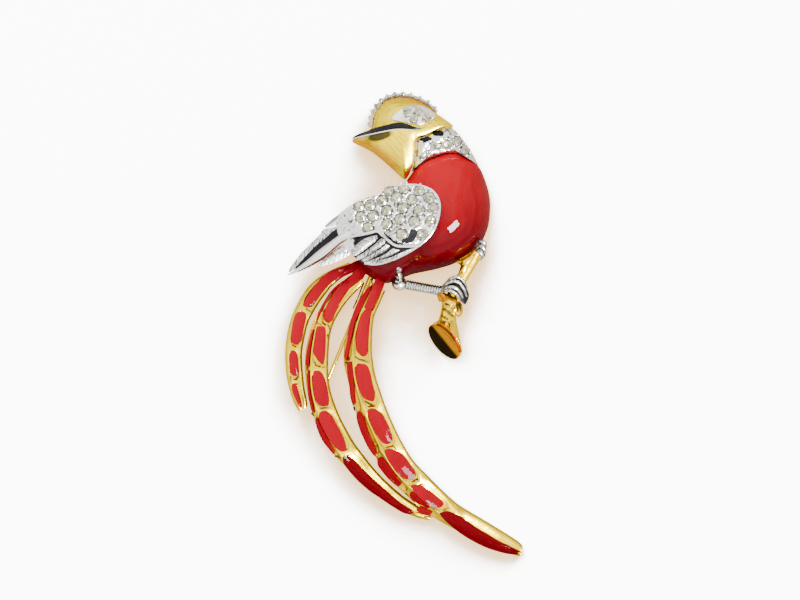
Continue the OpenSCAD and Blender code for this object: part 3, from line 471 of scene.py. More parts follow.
# Head: cast and gold plated, a domed cap and face with finely cut feather lines, a pointed
# lower beak that runs into the throat bib, and the nape behind.
head_gold = plated("engraved_gold", (1.0, 0.8, 0.0), (0.92, 0.66, 0.0), (0.03, 0.024, 0.006),
                   polish=(0.2, 0.34), grain=1.0, bump=0.8, warm_reflection=(0.78, 0.36, 0.0), strokes=True, cut=0.6,
                   cut_colour=(0.55, 0.3, 0.0), cut_end=0.5)
HEAD_MIDDLE = (-0.494, 40.969)
HEAD_SIZE = (21.4, 17.8, 9.2, 9.2)
HEAD_HEIGHT = 9.2
head_shares = [
    (0.442, 0.108, 0.2, 0.66), (0.343, 0.192, 0.2, 0.6), (0.236, 0.306, 0.2, 0.52),
    (0.098, 0.378, 0.2, 0.52), (-0.039, 0.396, 0.2, 0.52), (-0.157, 0.354, 0.2, 0.52),
    (-0.24, 0.258, 0.2, 0.52), (-0.285, 0.144, 0.2, 0.52), (-0.304, 0.024, 0.2, 0.5),
    (-0.393, -0.048, 0.3, 0.5), (-0.481, -0.108, 0.35, 0.5), (-0.471, -0.148, 0.35, 0.5),
    (-0.358, -0.21, 0.3, 0.5), (-0.265, -0.276, 0.25, 0.5), (-0.177, -0.36, 0.2, 0.5),
    (-0.088, -0.456, 0.2, 0.5), (-0.01, -0.542, 0.2, 0.5), (0.034, -0.57, 0.2, 0.55),
    (0.075, -0.504, 0.2, 0.66), (0.112, -0.396, 0.2, 0.78), (0.126, -0.252, 0.2, 0.86),
    (0.14, -0.12, 0.2, 0.9), (0.23, -0.075, 0.2, 0.92), (0.31, -0.025, 0.2, 0.92),
    (0.41, 0.03, 0.2, 0.86), (0.5, 0.04, 0.2, 0.72)]
head_outline = closed_curve(placed_rows(head_shares, HEAD_MIDDLE, HEAD_SIZE), 312)
gape = [
    (-10.98, 39.1), (-8.25, 39.68), (-5.1, 40.38), (-1.95, 40.86), (1.2, 40.9), (3.51, 40.86), (5.82, 41.83),
    (7.5, 43.93)]
head = make_piece(
    lay_plate(head_outline, HEAD_MIDDLE, over(HEAD_HEIGHT), lambda x, y, share, row: row[2], dome_shares(40),
              even_shares(4)[1:]), "gold_head", head_gold, ["head"], sharp=60)


def patch_shade(x, y, middle, size, turn=0.0):
    """1 at a patch's middle, fading to 0 at its edge."""
    dx, dy = x - middle[0], y - middle[1]
    c, s = math.cos(math.radians(turn)), math.sin(math.radians(turn))
    return max(0.0, 1 - ((dx * c + dy * s) / size[0]) ** 2 - ((dy * c - dx * s) / size[1]) ** 2)


def line_shade(x, y, points, width):
    """1 on a line through points, fading to 0 at width from it."""
    nearest = 1e9
    for (ax, ay), (bx, by) in zip(points, points[1:]):
        dx, dy = bx - ax, by - ay
        t = min(1.0, max(0.0, ((x - ax) * dx + (y - ay) * dy) / (dx * dx + dy * dy)))
        nearest = min(nearest, math.dist((x, y), (ax + t * dx, ay + t * dy)))
    return max(0.0, 1 - nearest / width)


def above_line(x, y, points):
    """True where a place lies above a line that runs from left to right."""
    for (ax, ay), (bx, by) in zip(points, points[1:]):
        if ax <= x <= bx:
            return y > ay + (by - ay) * (x - ax) / (bx - ax)
    return y > points[0][1] if x < points[0][0] else y > points[-1][1]


CAP_TURN = (-0.06, 41.41)


def stroke_place(x, y):
    """Strokes run round the cap, and along the lower jaw on the face and the bib."""
    if above_line(x, y, gape):
        dx, dy = x - CAP_TURN[0], y - CAP_TURN[1]
        return (math.atan2(dy, dx) * 1.4, math.hypot(dx, dy) * 2.6, 5.0)
    return ((x * 0.75 - y * 0.66) * 0.3, (x * 0.66 + y * 0.75) * 2.6, 0.0)


def run_strokes(piece, place):
    """Stores the way the finish is cut: place turns x and y into a place on the strokes."""
    layer = piece.data.attributes.new("flow", "FLOAT_VECTOR", "POINT")
    for v, stored in zip(piece.data.vertices, layer.data):
        stored.vector = place(v.co.x / MM, v.co.y / MM)


run_strokes(head, stroke_place)
throat_edge = [(-10.77, 38.68), (-8.15, 37.31), (-4.47, 34.69), (-2.79, 33.22)]
cap_edge = [(-2.79, 47.71), (-1.32, 47.92), (0.15, 47.81), (3.3, 46.87), (4.98, 45.82)]
# Painted warm reflections: orange along the throat's lower edge and along the top of the cap.
paint(head, lambda x, y, z: max(1.2 * line_shade(x, y, throat_edge, 2.2),
                                0.9 * line_shade(x, y, cap_edge, 1.7)), "warm_reflection")
# Painted dark reflection in the hollow under the beak, and a thin line of painted shade along the edge by the
# collar.
paint(head, lambda x, y, z: 1.7 * patch_shade(x, y, (-5.18, 39.52), (3.5, 1.3), 12) + 0.9 * line_shade(x, y, [
    (1.83, 32.59), (2.67, 35.11), (2.56, 37.63), (2.25, 39.31), (2.88, 40.57), (4.14, 41.2)], 0.3))

# Crest rim: a scalloped silver-coloured strip soldered round the back of the cap, with a row
# of very small stones along its top.


def copy_of(node_name):
    bm = bmesh.new()
    bm.from_mesh(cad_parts[node_name].data)
    bmesh.ops.remove_doubles(bm, verts=bm.verts, dist=2e-6)
    return bm


def eased_edges(node_name, width, angle):
    """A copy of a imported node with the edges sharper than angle, in degrees, rounded."""
    bm = copy_of(node_name)
    bmesh.ops.dissolve_limit(bm, angle_limit=math.radians(1), verts=bm.verts, edges=bm.edges)
    hard = [e for e in bm.edges if len(e.link_faces) == 2 and e.calc_face_angle(0) > math.radians(angle)]
    bmesh.ops.bevel(bm, geom=hard, offset=width * MM, segments=2, profile=0.5, affect="EDGES", material=-1,
                    clamp_overlap=True)
    return bm


make_piece(eased_edges("crest_rim", 0.08, 30), "crest_strip", silver, replaced=["crest_rim"], sharp=50)
dress("crest_stones", champagne)

# Brow: a cast leaf, rhodium plated and soldered over the eye, with a row of small stones
# glued into it between beads.
brow = make_piece(copy_of("brow_plate"), "brow_leaf", bright_silver, replaced=["brow_plate"], sharp=45)
brow_height = surface_of(brow)
brow_stones = set_stones("brow", 4)
beads("brow_beads", bead_ring(brow_stones, 1.15, 6, 1.05), brow_height, 0.22, silver)


# Upper beak: a crescent at the front of the head, filled with glossy black enamel. A bright
# wire is soldered along its lower edge.
def wire(name, points, radius, material, taper=None, replaced=()):
    """A round wire through points of x, y and z in millimetres."""
    curve = bpy.data.curves.new(name, "CURVE")
    curve.dimensions = "3D"
    curve.bevel_depth = radius * MM
    curve.bevel_resolution = 3
    curve.use_fill_caps = True
    curve.resolution_u = 8
    spline = curve.splines.new("BEZIER")
    spline.bezier_points.add(len(points) - 1)
    for i, (knot, p) in enumerate(zip(spline.bezier_points, points)):
        knot.co = Vector(p) * MM
        knot.handle_left_type = knot.handle_right_type = "AUTO"
        if taper:
            knot.radius = taper[i]
    holder = new_object(name + "_path", curve)
    swept = bpy.data.meshes.new_from_object(holder.evaluated_get(bpy.context.evaluated_depsgraph_get()))
    bm = bmesh.new()
    bm.from_mesh(swept)
    bpy.data.objects.remove(holder)
    bpy.data.curves.remove(curve)
    bpy.data.meshes.remove(swept)
    bmesh.ops.remove_doubles(bm, verts=bm.verts, dist=1e-6)
    return make_piece(bm, name, material, replaced, sharp=60)


def on(points, height, lift):
    return [(x, y, height(x, y) + lift) for x, y in points]


head_face = surface_of(head)
BEAK_LEVEL = 4.7


def beak_face(x, y):
    """The face under the beak, kept level where the beak reaches past it."""
    return head_face(x, y, BEAK_LEVEL)


beak_black = enamel("black_enamel", (0.008, 0.008, 0.009), (0.004, 0.004, 0.004), 30, 45, coat=0.2)
beak_rows = [
    (-10.94, 39.31), (-9.83, 40.02), (-8.04, 40.71), (-5.94, 41.3), (-3.84, 41.7), (-2.16, 42.08),
    (-0.69, 42.2), (0.78, 41.78), (2.25, 41.28), (3.51, 40.94), (2.25, 40.73), (0.15, 40.9), (-1.74, 40.86),
    (-4.26, 40.46), (-6.78, 39.98), (-9.09, 39.49)]
leaf("upper_beak", beak_rows, beak_face, 0.75, 0.35, 0.6, beak_black, count=96, rings=8,
     replaced=["beak"], centre=(-2.58, 41.2))
wire("beak_edge", on([
    (-10.98, 39.18), (-9.09, 39.37), (-6.78, 39.85), (-4.26, 40.33), (-1.74, 40.75), (0.36, 40.78),
    (2.46, 40.65)], beak_face, 0.55), 0.17, bright_silver, taper=(0.6, 1, 1, 1, 1, 0.8, 0.4))

# Wing: a cast plate that curves over the body, rhodium plated, with stones over the
# shoulder, a polished zigzag ridge and raised feathers, with black painted shade in the gaps between them.
WING_MIDDLE = (-2.59, 20.78)
WING_LENGTH, WING_WIDTH = 31.9, 16.8
wing_shares = [
    (0.312, 0.212), (0.303, 0.325), (0.279, 0.4), (0.217, 0.471), (0.118, 0.502), (0.05, 0.495),
    (-0.02, 0.475), (-0.072, 0.406), (-0.145, 0.36), (-0.237, 0.287), (-0.296, 0.206), (-0.342, 0.138),
    (-0.362, 0), (-0.336, -0.175), (-0.276, -0.338), (-0.197, -0.45), (-0.118, -0.491), (-0.01, -0.45),
    (0.099, -0.357), (0.171, -0.275), (0.241, -0.163), (0.29, -0.005)]
wing_outline = closed_curve(placed_rows(wing_shares, WING_MIDDLE, (WING_LENGTH, WING_WIDTH)), 264)
body_height = surface_of(body)
wing_cache = {}


def highest(height, x, y, reach, floor):
    """The highest point of a surface at a place and close round it."""
    around = ((0, 0), (1, 0), (-1, 0), (0, 1), (0, -1))
    return max(height(x + a * reach, y + b * reach, floor) for a, b in around)


WING_LOW, WING_RISE = 5, 5.4
WING_THICK = 1.2
WING_REACH = 1.3


def wing_face(x, y):
    """The wing's face without its relief: it slopes up to the shoulder and keeps off the body."""
    key = (round(x, 3), round(y, 3))
    if key not in wing_cache:
        slope = WING_LOW + WING_RISE * ((x - WING_MIDDLE[0]) / WING_LENGTH + 0.68) / 0.99
        around = highest(body_height, x, y, WING_REACH, 0.5)
        bulge = max(0, 1 - ((x - WING_MIDDLE[0]) / (0.36 * WING_LENGTH)) ** 2
                    - ((y - WING_MIDDLE[1]) / (0.52 * WING_WIDTH)) ** 2)
        wing_cache[key] = max(slope, around + 0.2) + 1.5 + 0.7 * bulge
    return wing_cache[key]


wing_stones = set_stones("wing", 22)
wing_plate = make_piece(
    lay_plate(wing_outline, WING_MIDDLE,
              seated(lambda x, y, share, row: wing_face(x, y), wing_stones, 1.12, 0.28),
              lambda x, y, share, row: wing_face(x, y) - WING_THICK, even_shares(56), even_shares(4)[1:]),
    "wing_plate", silver, replaced=["wing"], sharp=50)
ridge_line = [
    (-11.99, 18.1), (-10.98, 18.43), (-8.9, 18.85), (-6.99, 19.27), (-5.48, 19.52), (-4.6, 18.73),
    (-3.29, 17.59), (-1.89, 16.58), (0.36, 16.35), (3.19, 16.5)]
COVERTS_FROM = -10.6
# Painted shade: black under the ridge and past the coverts, showing in the gaps between the feathers, and a
# dark ring round each stone.
paint(wing_plate, lambda x, y, z: max(
    0.0 if above_line(x, y, ridge_line) or x < COVERTS_FROM else 1.0,
    max(0.0, 1.1 - abs(near_stone(x, y, wing_stones) - 1.14) / 0.26)))
# A black pocket of painted shade.
leaf("wing_pocket", [
    (1.37, 19.88), (2.4, 19.71), (2.56, 18.68), (1.7, 17.3), (-0.19, 16.96), (-0.52, 17.49), (0.51, 17.99),
    (1.01, 19.02)], wing_face, 0.06, 0.0, 0.3, shade_black, count=42)
pocket_middle = (1.2, 18.31)
beads("wing_beads", [p for p in bead_ring(wing_stones, 1.36, 7, 1.3) if math.dist(p, pocket_middle) > 1.9
                     and above_line(p[0], p[1] - 0.4, ridge_line)], wing_face, 0.3, bright_silver)
wire("wing_ridge", on(ridge_line, wing_face, 0.45), 0.33, bright_silver,
     taper=(0.5, 0.9, 1, 1.1, 1.1, 1, 1, 1, 0.9, 0.6))
# Black wires of painted shadow along the ridge.
for i, (line, radius) in enumerate((
        ([(-4.34, 19.27), (-3.21, 18.22), (-1.95, 17.15), (-0.27, 16.84)], 0.2),
        ([(-11.4, 17.91), (-8.88, 18.31), (-6.78, 18.73), (-5.31, 18.98)], 0.16),
        ([(-4.47, 18.1), (-2.79, 16.5), (-0.9, 15.87), (1.41, 15.95)], 0.26))):
    wire("wing_ridge_groove_%d" % (i + 1), on(line, wing_face, 0.22), radius, shade_black,
         taper=(0.4, 1, 1, 0.4))
wire("wing_rim", on([
    (-1.11, 29.1), (1.09, 29.18), (3.97, 28.81), (6.2, 27.46), (7.23, 25.45), (7.23, 23.56), (6.53, 20.78),
    (4.98, 18.2), (2.75, 16.35), (0.49, 14.97), (-2.96, 13.43), (-6.36, 12.66), (-8.25, 13.06)], wing_face,
    0.02), 0.26, bright_silver)

# Feathers of the wing: each is cast in relief with a sandblasted vane, the first and longest
# polished, and the vane behind them lies lower with a cut edge.
barb_silver = plated("barbed_rhodium", (0.9, 0.88, 0.84), (0.7, 0.68, 0.64), (0.03, 0.03, 0.03),
                     polish=(0.2, 0.4), grain=1.0, bump=0.9, strokes=True, cut=1.0,
                     cut_colour=(0.04, 0.04, 0.036), cut_end=0.56)


def shaft(outline):
    """Where a feather's shaft starts, and its direction: it runs between the ends farthest apart."""
    start, end = max(((a, b) for a in outline for b in outline), key=lambda pair: math.dist(*pair))
    return start, *((end[m] - start[m]) / math.dist(start, end) for m in (0, 1))


def barbed(outline, pitch):
    """Strokes that slant back from the shaft of a feather."""
    start, ax, ay = shaft(outline)

    def place(x, y):
        along = (x - start[0]) * ax + (y - start[1]) * ay
        across = (y - start[1]) * ax - (x - start[0]) * ay
        return (across * 0.8, (along + abs(across)) * pitch, 0.0)
    return place


def lengthwise(outline, pitch):
    """Fine lines along a feather."""
    start, ax, ay = shaft(outline)
    return lambda x, y: ((x * ax + y * ay) * 0.25, (y * ax - x * ay) * pitch, 0.0)


feathers = [
    # name, lift, crown, depth, finish, strokes, outline
    ("far_vane_top", -0.5, 0.2, 0.8, barb_silver, lengthwise, [
        (-16.61, 20.51), (-15.41, 21.94), (-13.71, 23.14), (-11.99, 24.54), (-10.56, 25.13), (-9.93, 23.56),
        (-11.3, 21.41), (-12.68, 21.16), (-14.38, 20.83)]),
    ("far_vane_edge", -0.7, 0.15, 0.8, barb_silver, barbed, [
        (-12.03, 20.91), (-14.38, 20.57), (-16.86, 20.09), (-17.57, 19.1), (-19.53, 17.21), (-21.23, 15.51),
        (-22.74, 13.71), (-24, 12.01), (-24.21, 11.04), (-22.74, 12.09), (-20.56, 14.32), (-17.81, 17.05),
        (-15.41, 19.06), (-13.29, 20.3)]),
    # the primary groove is a black strip of painted shade between the feathers
    ("primary_groove", -0.28, 0.0, 0.6, shade_black, None, [
        (-13.71, 20.28), (-12.45, 21.04), (-11.27, 20.74), (-12.24, 19.57), (-15.31, 17.38), (-18.04, 15.32),
        (-20.45, 13.27), (-23.24, 11.29), (-21.4, 13.6), (-19.04, 16.08), (-16.61, 18.14), (-14.89, 19.65)]),
    ("primary_first", 0.05, 0.45, 0.9, bright_silver, None, [
        (-12.11, 19.71), (-15.41, 17.55), (-18.14, 15.49), (-20.56, 13.43), (-22.95, 11.61), (-24.59, 10.45),
        (-23.62, 10.64), (-21.23, 11.5), (-18.5, 12.93), (-16.1, 14.65), (-14.05, 16.67), (-12.24, 18.05),
        (-11.19, 18.73)]),
    ("primary_second", -0.35, 0.25, 0.6, barb_silver, barbed, [
        (-11.61, 17.59), (-14.05, 16.12), (-15.75, 14.74), (-17.47, 13.27), (-18.25, 12.51), (-16.78, 12.47),
        (-14.38, 13.14), (-12.68, 13.98), (-11.4, 14.82), (-10.77, 16.1), (-9.09, 17.38), (-9.93, 17.89)]),
    ("covert_first", 0.05, 0.35, 0.5, barb_silver, barbed, [
        (-7.03, 18.6), (-8.57, 17.89), (-10.29, 16.42), (-11.06, 15.09), (-10.62, 14.4), (-9.26, 15.03),
        (-7.2, 16.46), (-5.56, 17.97), (-5.94, 18.81)]),
    ("covert_second", 0.05, 0.35, 0.5, barb_silver, barbed, [
        (-4.89, 18.01), (-6.51, 16.54), (-8.57, 15.09), (-10.01, 14.19), (-9.43, 13.64), (-7.87, 14.36),
        (-5.84, 15.58), (-4.22, 16.92), (-4.05, 17.8)]),
    ("covert_third", 0.05, 0.35, 0.5, barb_silver, barbed, [
        (-3.42, 17.26), (-4.81, 16.04), (-6.84, 14.82), (-8.8, 13.64), (-8.23, 13.27), (-6.51, 13.98),
        (-4.11, 15.37), (-2.79, 16.54), (-2.87, 17.05)]),
    ("covert_fourth", 0.05, 0.3, 0.5, barb_silver, barbed, [
        (-2.06, 16.16), (-3.78, 14.99), (-5.84, 13.96), (-8.04, 13.1), (-7.2, 12.85), (-5.14, 13.48),
        (-2.75, 14.53), (-0.94, 15.66), (-1.19, 16.12)]),
    ("covert_rim", 0.05, 0.25, 0.5, barb_silver, barbed, [
        (-8.46, 12.76), (-6.51, 12.51), (-3.78, 12.89), (-1.03, 14.02), (1.37, 15.37), (3.3, 16.42),
        (1.41, 16.02), (-0.48, 15.13), (-2.79, 14.04), (-5.1, 13.14), (-7.2, 12.72)])]
for name, lift, crown, depth, finish, way, outline in feathers:
    feather = leaf("wing_" + name, outline, wing_face, lift, crown, depth, finish, count=96, rings=10)
    if way:
        run_strokes(feather, way(outline, 2.6))
copper = plated("worn_plating", (0.1, 0.035, 0.02), (0.03, 0.012, 0.008), (0.05, 0.02, 0.01),
                polish=(0.3, 0.5))
wire("wing_worn_edge", on([
    (-12.49, 17.76), (-14.05, 16.46), (-16.1, 14.57), (-17.81, 13.43), (-19.53, 12.47), (-22.32, 11.12)],
    wing_face, 0.25), 0.2, copper, taper=(0.6, 1, 1.2, 1, 0.8, 0.3))
wire("wing_long_rim", on([
    (-11.4, 18.31), (-12.79, 17.97), (-14.34, 16.84), (-16.4, 15.03), (-18.12, 13.85), (-19.88, 12.89),
    (-22.53, 11.5), (-24.13, 10.66)], wing_face, 0.4), 0.3, bright_silver,
    taper=(0.8, 1, 1, 1, 1, 0.9, 0.8, 0.4))

# Tail: three long cast feathers, gold plated, each with a ridge, rims and bridges round sunk
# cells. The edges are rounded by the polishing.
tail_gold = plated("tail_gold", (0.74, 0.56, 0.0), (0.64, 0.4, 0.0), (0.2, 0.09, 0.02), polish=(0.12, 0.26),
                   grain=900.0, bump=0.25)
tail_frames = [
    make_piece(eased_edges("tail_feather_" + side, 0.1, 28), "tail_frame_" + side, tail_gold,
               ["tail_feather_" + side], sharp=40)
    for side in ("left", "middle", "right")]

# Tail enamel: the same red, flooded into each cell and a little crowned. The first of each
# feather runs up to the body, and the side cells are deeper in colour.
tail_red = enamel("tail_red_enamel", (0.26, 0.002, 0.008), (0.1, 0.001, 0.004), 14, 4, coat=0.04)
side_red = enamel("side_red_enamel", (0.2, 0.0015, 0.006), (0.09, 0.0008, 0.003), 14, 4, coat=0.03)
tip_red = enamel("tip_red_enamel", (0.13, 0.001, 0.004), (0.1, 0.0008, 0.003), -60, 10, coat=0.05)
tail_height = surface_of(*tail_frames)
tail_cells, side_cells = {}, {"left": []}
tail_cells["left"] = [
    [(-9.72, 13.58), (-11.27, 12.97), (-13, 12.38), (-15.14, 11.59), (-16.65, 10.62), (-18.06, 9.17),
     (-19.32, 7.57), (-20.39, 5.96), (-21, 4.72), (-20.91, 4.17), (-20.22, 3.82), (-19.32, 4.17),
     (-18.41, 5.08), (-17.53, 6.44), (-16.46, 7.74), (-15.39, 8.81), (-13.96, 9.88), (-12.35, 10.79),
     (-10.71, 11.35), (-9.51, 11.8)],
    [(-22.53, 2.58), (-23.06, 1.51), (-23.41, 0.08), (-23.69, -1.71), (-23.79, -2.78), (-23.56, -3.68),
     (-22.7, -3.85), (-21.63, -3.49), (-21.27, -2.42), (-21.04, -0.99), (-20.75, 0.43), (-20.49, 1.86),
     (-20.75, 2.64), (-21.63, 2.87)],
    [(-23.6, -5.34), (-23.9, -6.35), (-24.04, -7.42), (-24, -8.85), (-23.83, -9.75), (-23.24, -10.46),
     (-22.34, -10.46), (-21.98, -9.56), (-22.07, -8.13), (-22.17, -6.71), (-22.53, -5.63), (-23.06, -5.28)],
    [(-23.41, -12.42), (-23.5, -13.32), (-23.2, -14.39), (-22.66, -15.63), (-22.11, -16.76),
     (-21.61, -17.31), (-21.44, -17.04), (-21.52, -15.99), (-21.88, -14.56), (-22.24, -13.13),
     (-22.59, -12.25), (-23.06, -12.12)]]
tail_cells["middle"] = [
    [(-8.04, 12.64), (-9.22, 12.43), (-10.75, 11.14), (-11.63, 9.88), (-12.7, 8.81), (-13.77, 8.1),
     (-14.84, 6.67), (-15.92, 4.72), (-16.52, 3.29), (-16.76, 2.22), (-16.46, 1.15), (-15.75, 0.79),
     (-15.03, 0.96), (-14.68, 2.03), (-14.13, 3.65), (-13.25, 5.08), (-12.18, 6.67), (-11.11, 8.1),
     (-9.68, 9.17), (-8.61, 9.88), (-7.94, 11.27)],
    [(-18.25, -0.28), (-18.54, -1.35), (-18.77, -3.14), (-18.96, -4.92), (-18.6, -6.35), (-17.7, -7.61),
     (-16.99, -7.97), (-16.63, -7.06), (-16.46, -5.28), (-16.4, -3.49), (-16.4, -1.35), (-16.63, -0.34),
     (-17.53, -0.17)],
    [(-18.77, -9.62), (-19.13, -10.63), (-19.25, -12.06), (-18.96, -13.85), (-18.54, -15.63),
     (-17.89, -16.53), (-16.82, -16.89), (-15.92, -16.53), (-15.68, -15.63), (-15.92, -13.85),
     (-16.27, -12.06), (-16.88, -10.46), (-17.53, -9.62), (-18.18, -9.5)],
    [(-17.81, -18.61), (-17.81, -19.81), (-17.07, -21.51), (-15.87, -23.67), (-14.66, -25.37),
     (-13.21, -26.45), (-12.24, -26.09), (-12.35, -24.64), (-13.21, -22.48), (-14.42, -20.29),
     (-15.39, -18.61), (-16.36, -17.88), (-17.32, -18.02)],
    [(-12.72, -27.54), (-12.72, -28.99), (-11.53, -30.69), (-9.83, -32.62), (-7.41, -34.78), (-5, -36.48),
     (-2.58, -38.16), (-0.17, -39.61), (1.51, -39.86), (1.77, -39.13), (0.32, -38.16), (-1.61, -36.71),
     (-4.03, -34.55), (-6.44, -32.37), (-8.63, -30.2), (-10.31, -28.38), (-11.53, -27.54)]]
tail_cells["right"] = [
    [(-5.94, 10.54), (-6.23, 9.28), (-6.68, 8.02), (-7.26, 6.65), (-7.89, 5.08), (-8.25, 3.82),
     (-7.83, 3.31), (-6.57, 3.42), (-5.94, 4.72), (-4.97, 6.5), (-4.26, 8.29), (-3.76, 9.8), (-4.68, 11.06)],
    [(-8.25, 3.19), (-8.96, 2.22), (-9.49, 0.79), (-9.85, -0.99), (-10.04, -2.78), (-9.97, -4.58),
     (-9.68, -5.53), (-8.78, -6.35), (-7.89, -6.18), (-7.54, -5.11), (-7.45, -3.32), (-7.35, -1.54),
     (-7.18, 0.25), (-6.99, 2.03), (-6.74, 3.1), (-7.49, 3.31)],
    [(-9.85, -8.32), (-10.04, -9.2), (-9.97, -10.99), (-9.62, -12.77), (-9.03, -14.2), (-8.25, -15.27),
     (-7.18, -15.82), (-6.4, -15.82), (-6.17, -14.92), (-6.28, -13.49), (-6.63, -12.06), (-6.99, -10.28),
     (-7.47, -8.85), (-8.06, -8.2), (-8.96, -8.07)],
    [(-7.66, -17.88), (-7.41, -19.33), (-6.7, -21.03), (-5.73, -22.96), (-4.76, -24.41), (-3.55, -24.89),
     (-2.58, -24.41), (-2.69, -22.96), (-3.17, -21.26), (-4.03, -19.58), (-5, -18.36), (-5.96, -17.54),
     (-6.93, -17.39)],
    [(-4.03, -26.34), (-3.8, -27.54), (-2.83, -29.24), (-1.61, -30.92), (0.07, -32.14), (1.51, -32.37),
     (2.4, -31.65), (2, -30.2), (1.03, -28.76), (0.07, -27.54), (-1.13, -26.57), (-2.58, -25.96),
     (-3.55, -25.86)],
    [(1.51, -33.59), (1.77, -34.55), (2.96, -36), (4.66, -37.45), (6.6, -38.31), (7.79, -38.31),
     (8.28, -37.45), (7.08, -36.23), (5.63, -35.03), (4.18, -34.07), (2.73, -33.48)],
    [(7.56, -39.61), (8.05, -40.58), (9.98, -42.47), (12.39, -44.36), (14.81, -45.81), (17.22, -47),
     (19.64, -47.84), (22.05, -48.43), (24.09, -48.47), (24.64, -48.03), (22.54, -46.86), (20.12, -45.66),
     (17.71, -44.21), (15.29, -42.76), (12.88, -41.06), (10.94, -39.86), (9.01, -39.13)]]
side_cells["middle"] = [
    [(-19.02, -0.8), (-19.49, -1.71), (-20.03, -3.49), (-20.45, -5.63), (-20.6, -7.42), (-20.39, -8.49),
     (-20.03, -8.49), (-19.84, -7.06), (-19.61, -4.92), (-19.25, -2.78), (-18.96, -1.35)],
    [(-20.14, -9.39), (-20.33, -10.63), (-20.3, -12.42), (-20.12, -14.2), (-19.88, -15.99),
     (-19.55, -17.65), (-19.17, -18.32), (-19, -17.92), (-19.25, -16.34), (-19.53, -14.56),
     (-19.72, -12.77), (-19.78, -10.99), (-19.88, -9.75)],
    [(-18.71, -20.06), (-18.2, -21.99), (-17.24, -24.16), (-16.02, -25.79), (-14.97, -27.01),
     (-14.76, -26.63), (-15.45, -25.12), (-16.42, -23.19), (-17.39, -21.26), (-18.08, -19.81),
     (-18.48, -19.62)]]
side_cells["right"] = [
    [(-7.26, 8.25), (-8.42, 6.92), (-9.64, 5.16), (-10.5, 3.23), (-11.19, 1.25), (-11.74, -0.99),
     (-12.07, -3.49), (-12.47, -5.63), (-12.53, -6.85), (-12.18, -7.23), (-11.86, -6.35), (-11.51, -4.21),
     (-11.15, -2.06), (-10.79, -0.28), (-10.43, 1.51), (-9.89, 3.29), (-9.01, 4.72), (-7.98, 6.15),
     (-7.16, 7.53)],
    [(-11.9, -8.03), (-12.03, -9.2), (-11.74, -10.99), (-11.55, -12.77), (-11.4, -14.56), (-11.21, -15.63),
     (-10.75, -16.89), (-10.46, -16.53), (-10.46, -15.27), (-10.52, -13.49), (-10.6, -11.35),
     (-10.69, -9.2), (-10.98, -7.86), (-11.46, -7.57)],
    [(-10.01, -18.42), (-9.97, -19.81), (-9.36, -21.95), (-8.54, -23.86), (-7.6, -25.77), (-6.44, -27.39),
     (-6.05, -27.18), (-6.15, -25.86), (-6.78, -24.41), (-7.49, -22.71), (-8.23, -20.78), (-8.84, -18.86),
     (-9.45, -18.02)],
    [(-5.63, -28.1), (-5.6, -29.43), (-4.68, -30.83), (-3.25, -32.51), (-1.61, -33.9), (-0.98, -33.82),
     (-0.73, -33.25), (-1.47, -31.88), (-2.43, -30.44), (-3.4, -29.03), (-4.32, -28.1), (-5, -27.79)],
    [(1.12, -35.58), (1.37, -36.44), (2.29, -37.37), (3.7, -37.95), (4.9, -38.6), (5.46, -38.04),
     (4.56, -37.45), (3.13, -36.48), (2.21, -35.58), (1.66, -35.22)],
    [(2.59, -38.94), (3.3, -39.74), (4.66, -40.12), (5.74, -39.76), (5.55, -39.19), (4.18, -38.54),
     (3.01, -38.44)]]


STEADY = 0.05


def slope_under(outline):
    """The plane that fits the metal round a cell."""
    around = [(x, y, highest(tail_height, x, y, 0.3, 0.0)) for x, y in outline]
    around = [p for p in around if p[2] > 0.6] or [(x, y, 4.0) for x, y in outline]
    middle = [sum(p[m] for p in around) / len(around) for m in range(3)]
    sxx, syy, sxy, sxz, syz = (sum((p[m] - middle[m]) * (p[n] - middle[n]) for p in around)
                               for m, n in ((0, 0), (1, 1), (0, 1), (0, 2), (1, 2)))
    sxx, syy = sxx + STEADY, syy + STEADY
    det = sxx * syy - sxy * sxy
    ax, ay = (sxz * syy - syz * sxy) / det, (syz * sxx - sxz * sxy) / det
    return lambda x, y: max(middle[2] + ax * (x - middle[0]) + ay * (y - middle[1]), tail_height(x, y, 0.0))


for side, cells in tail_cells.items():
    for i, outline in enumerate(cells):
        last = side != "left" and i == len(cells) - 1
        end_lift = 0.6 if side == "left" else 0.3
        leaf("tail_cell_%s_%d" % (side, i + 1), outline, slope_under(outline),
             end_lift if last or i == 0 else 0.12, 0.3, 1.0, tip_red if last else tail_red,
             count=72, replaced=["tail_enamel_" + side])
    for i, outline in enumerate(side_cells[side]):
        leaf("side_cell_%s_%d" % (side, i + 1), outline, slope_under(outline), 0.1, 0.15, 0.6, side_red,
             count=60, rings=5, replaced=["tail_enamel_" + side])

# Tail grooves: cut beside the bridges and along the roots of the feathers. Polishing doesn't
# reach into them, so dark oxide has stayed there.
oxide = plated("oxide_in_grooves", (0.1, 0.06, 0.015), (0.05, 0.03, 0.01), (0.02, 0.01, 0.0),
               polish=(0.4, 0.6))


def marks(ends):
    """Short straight marks: each two places in the list are the ends of one."""
    return list(zip(ends[::2], ends[1::2]))


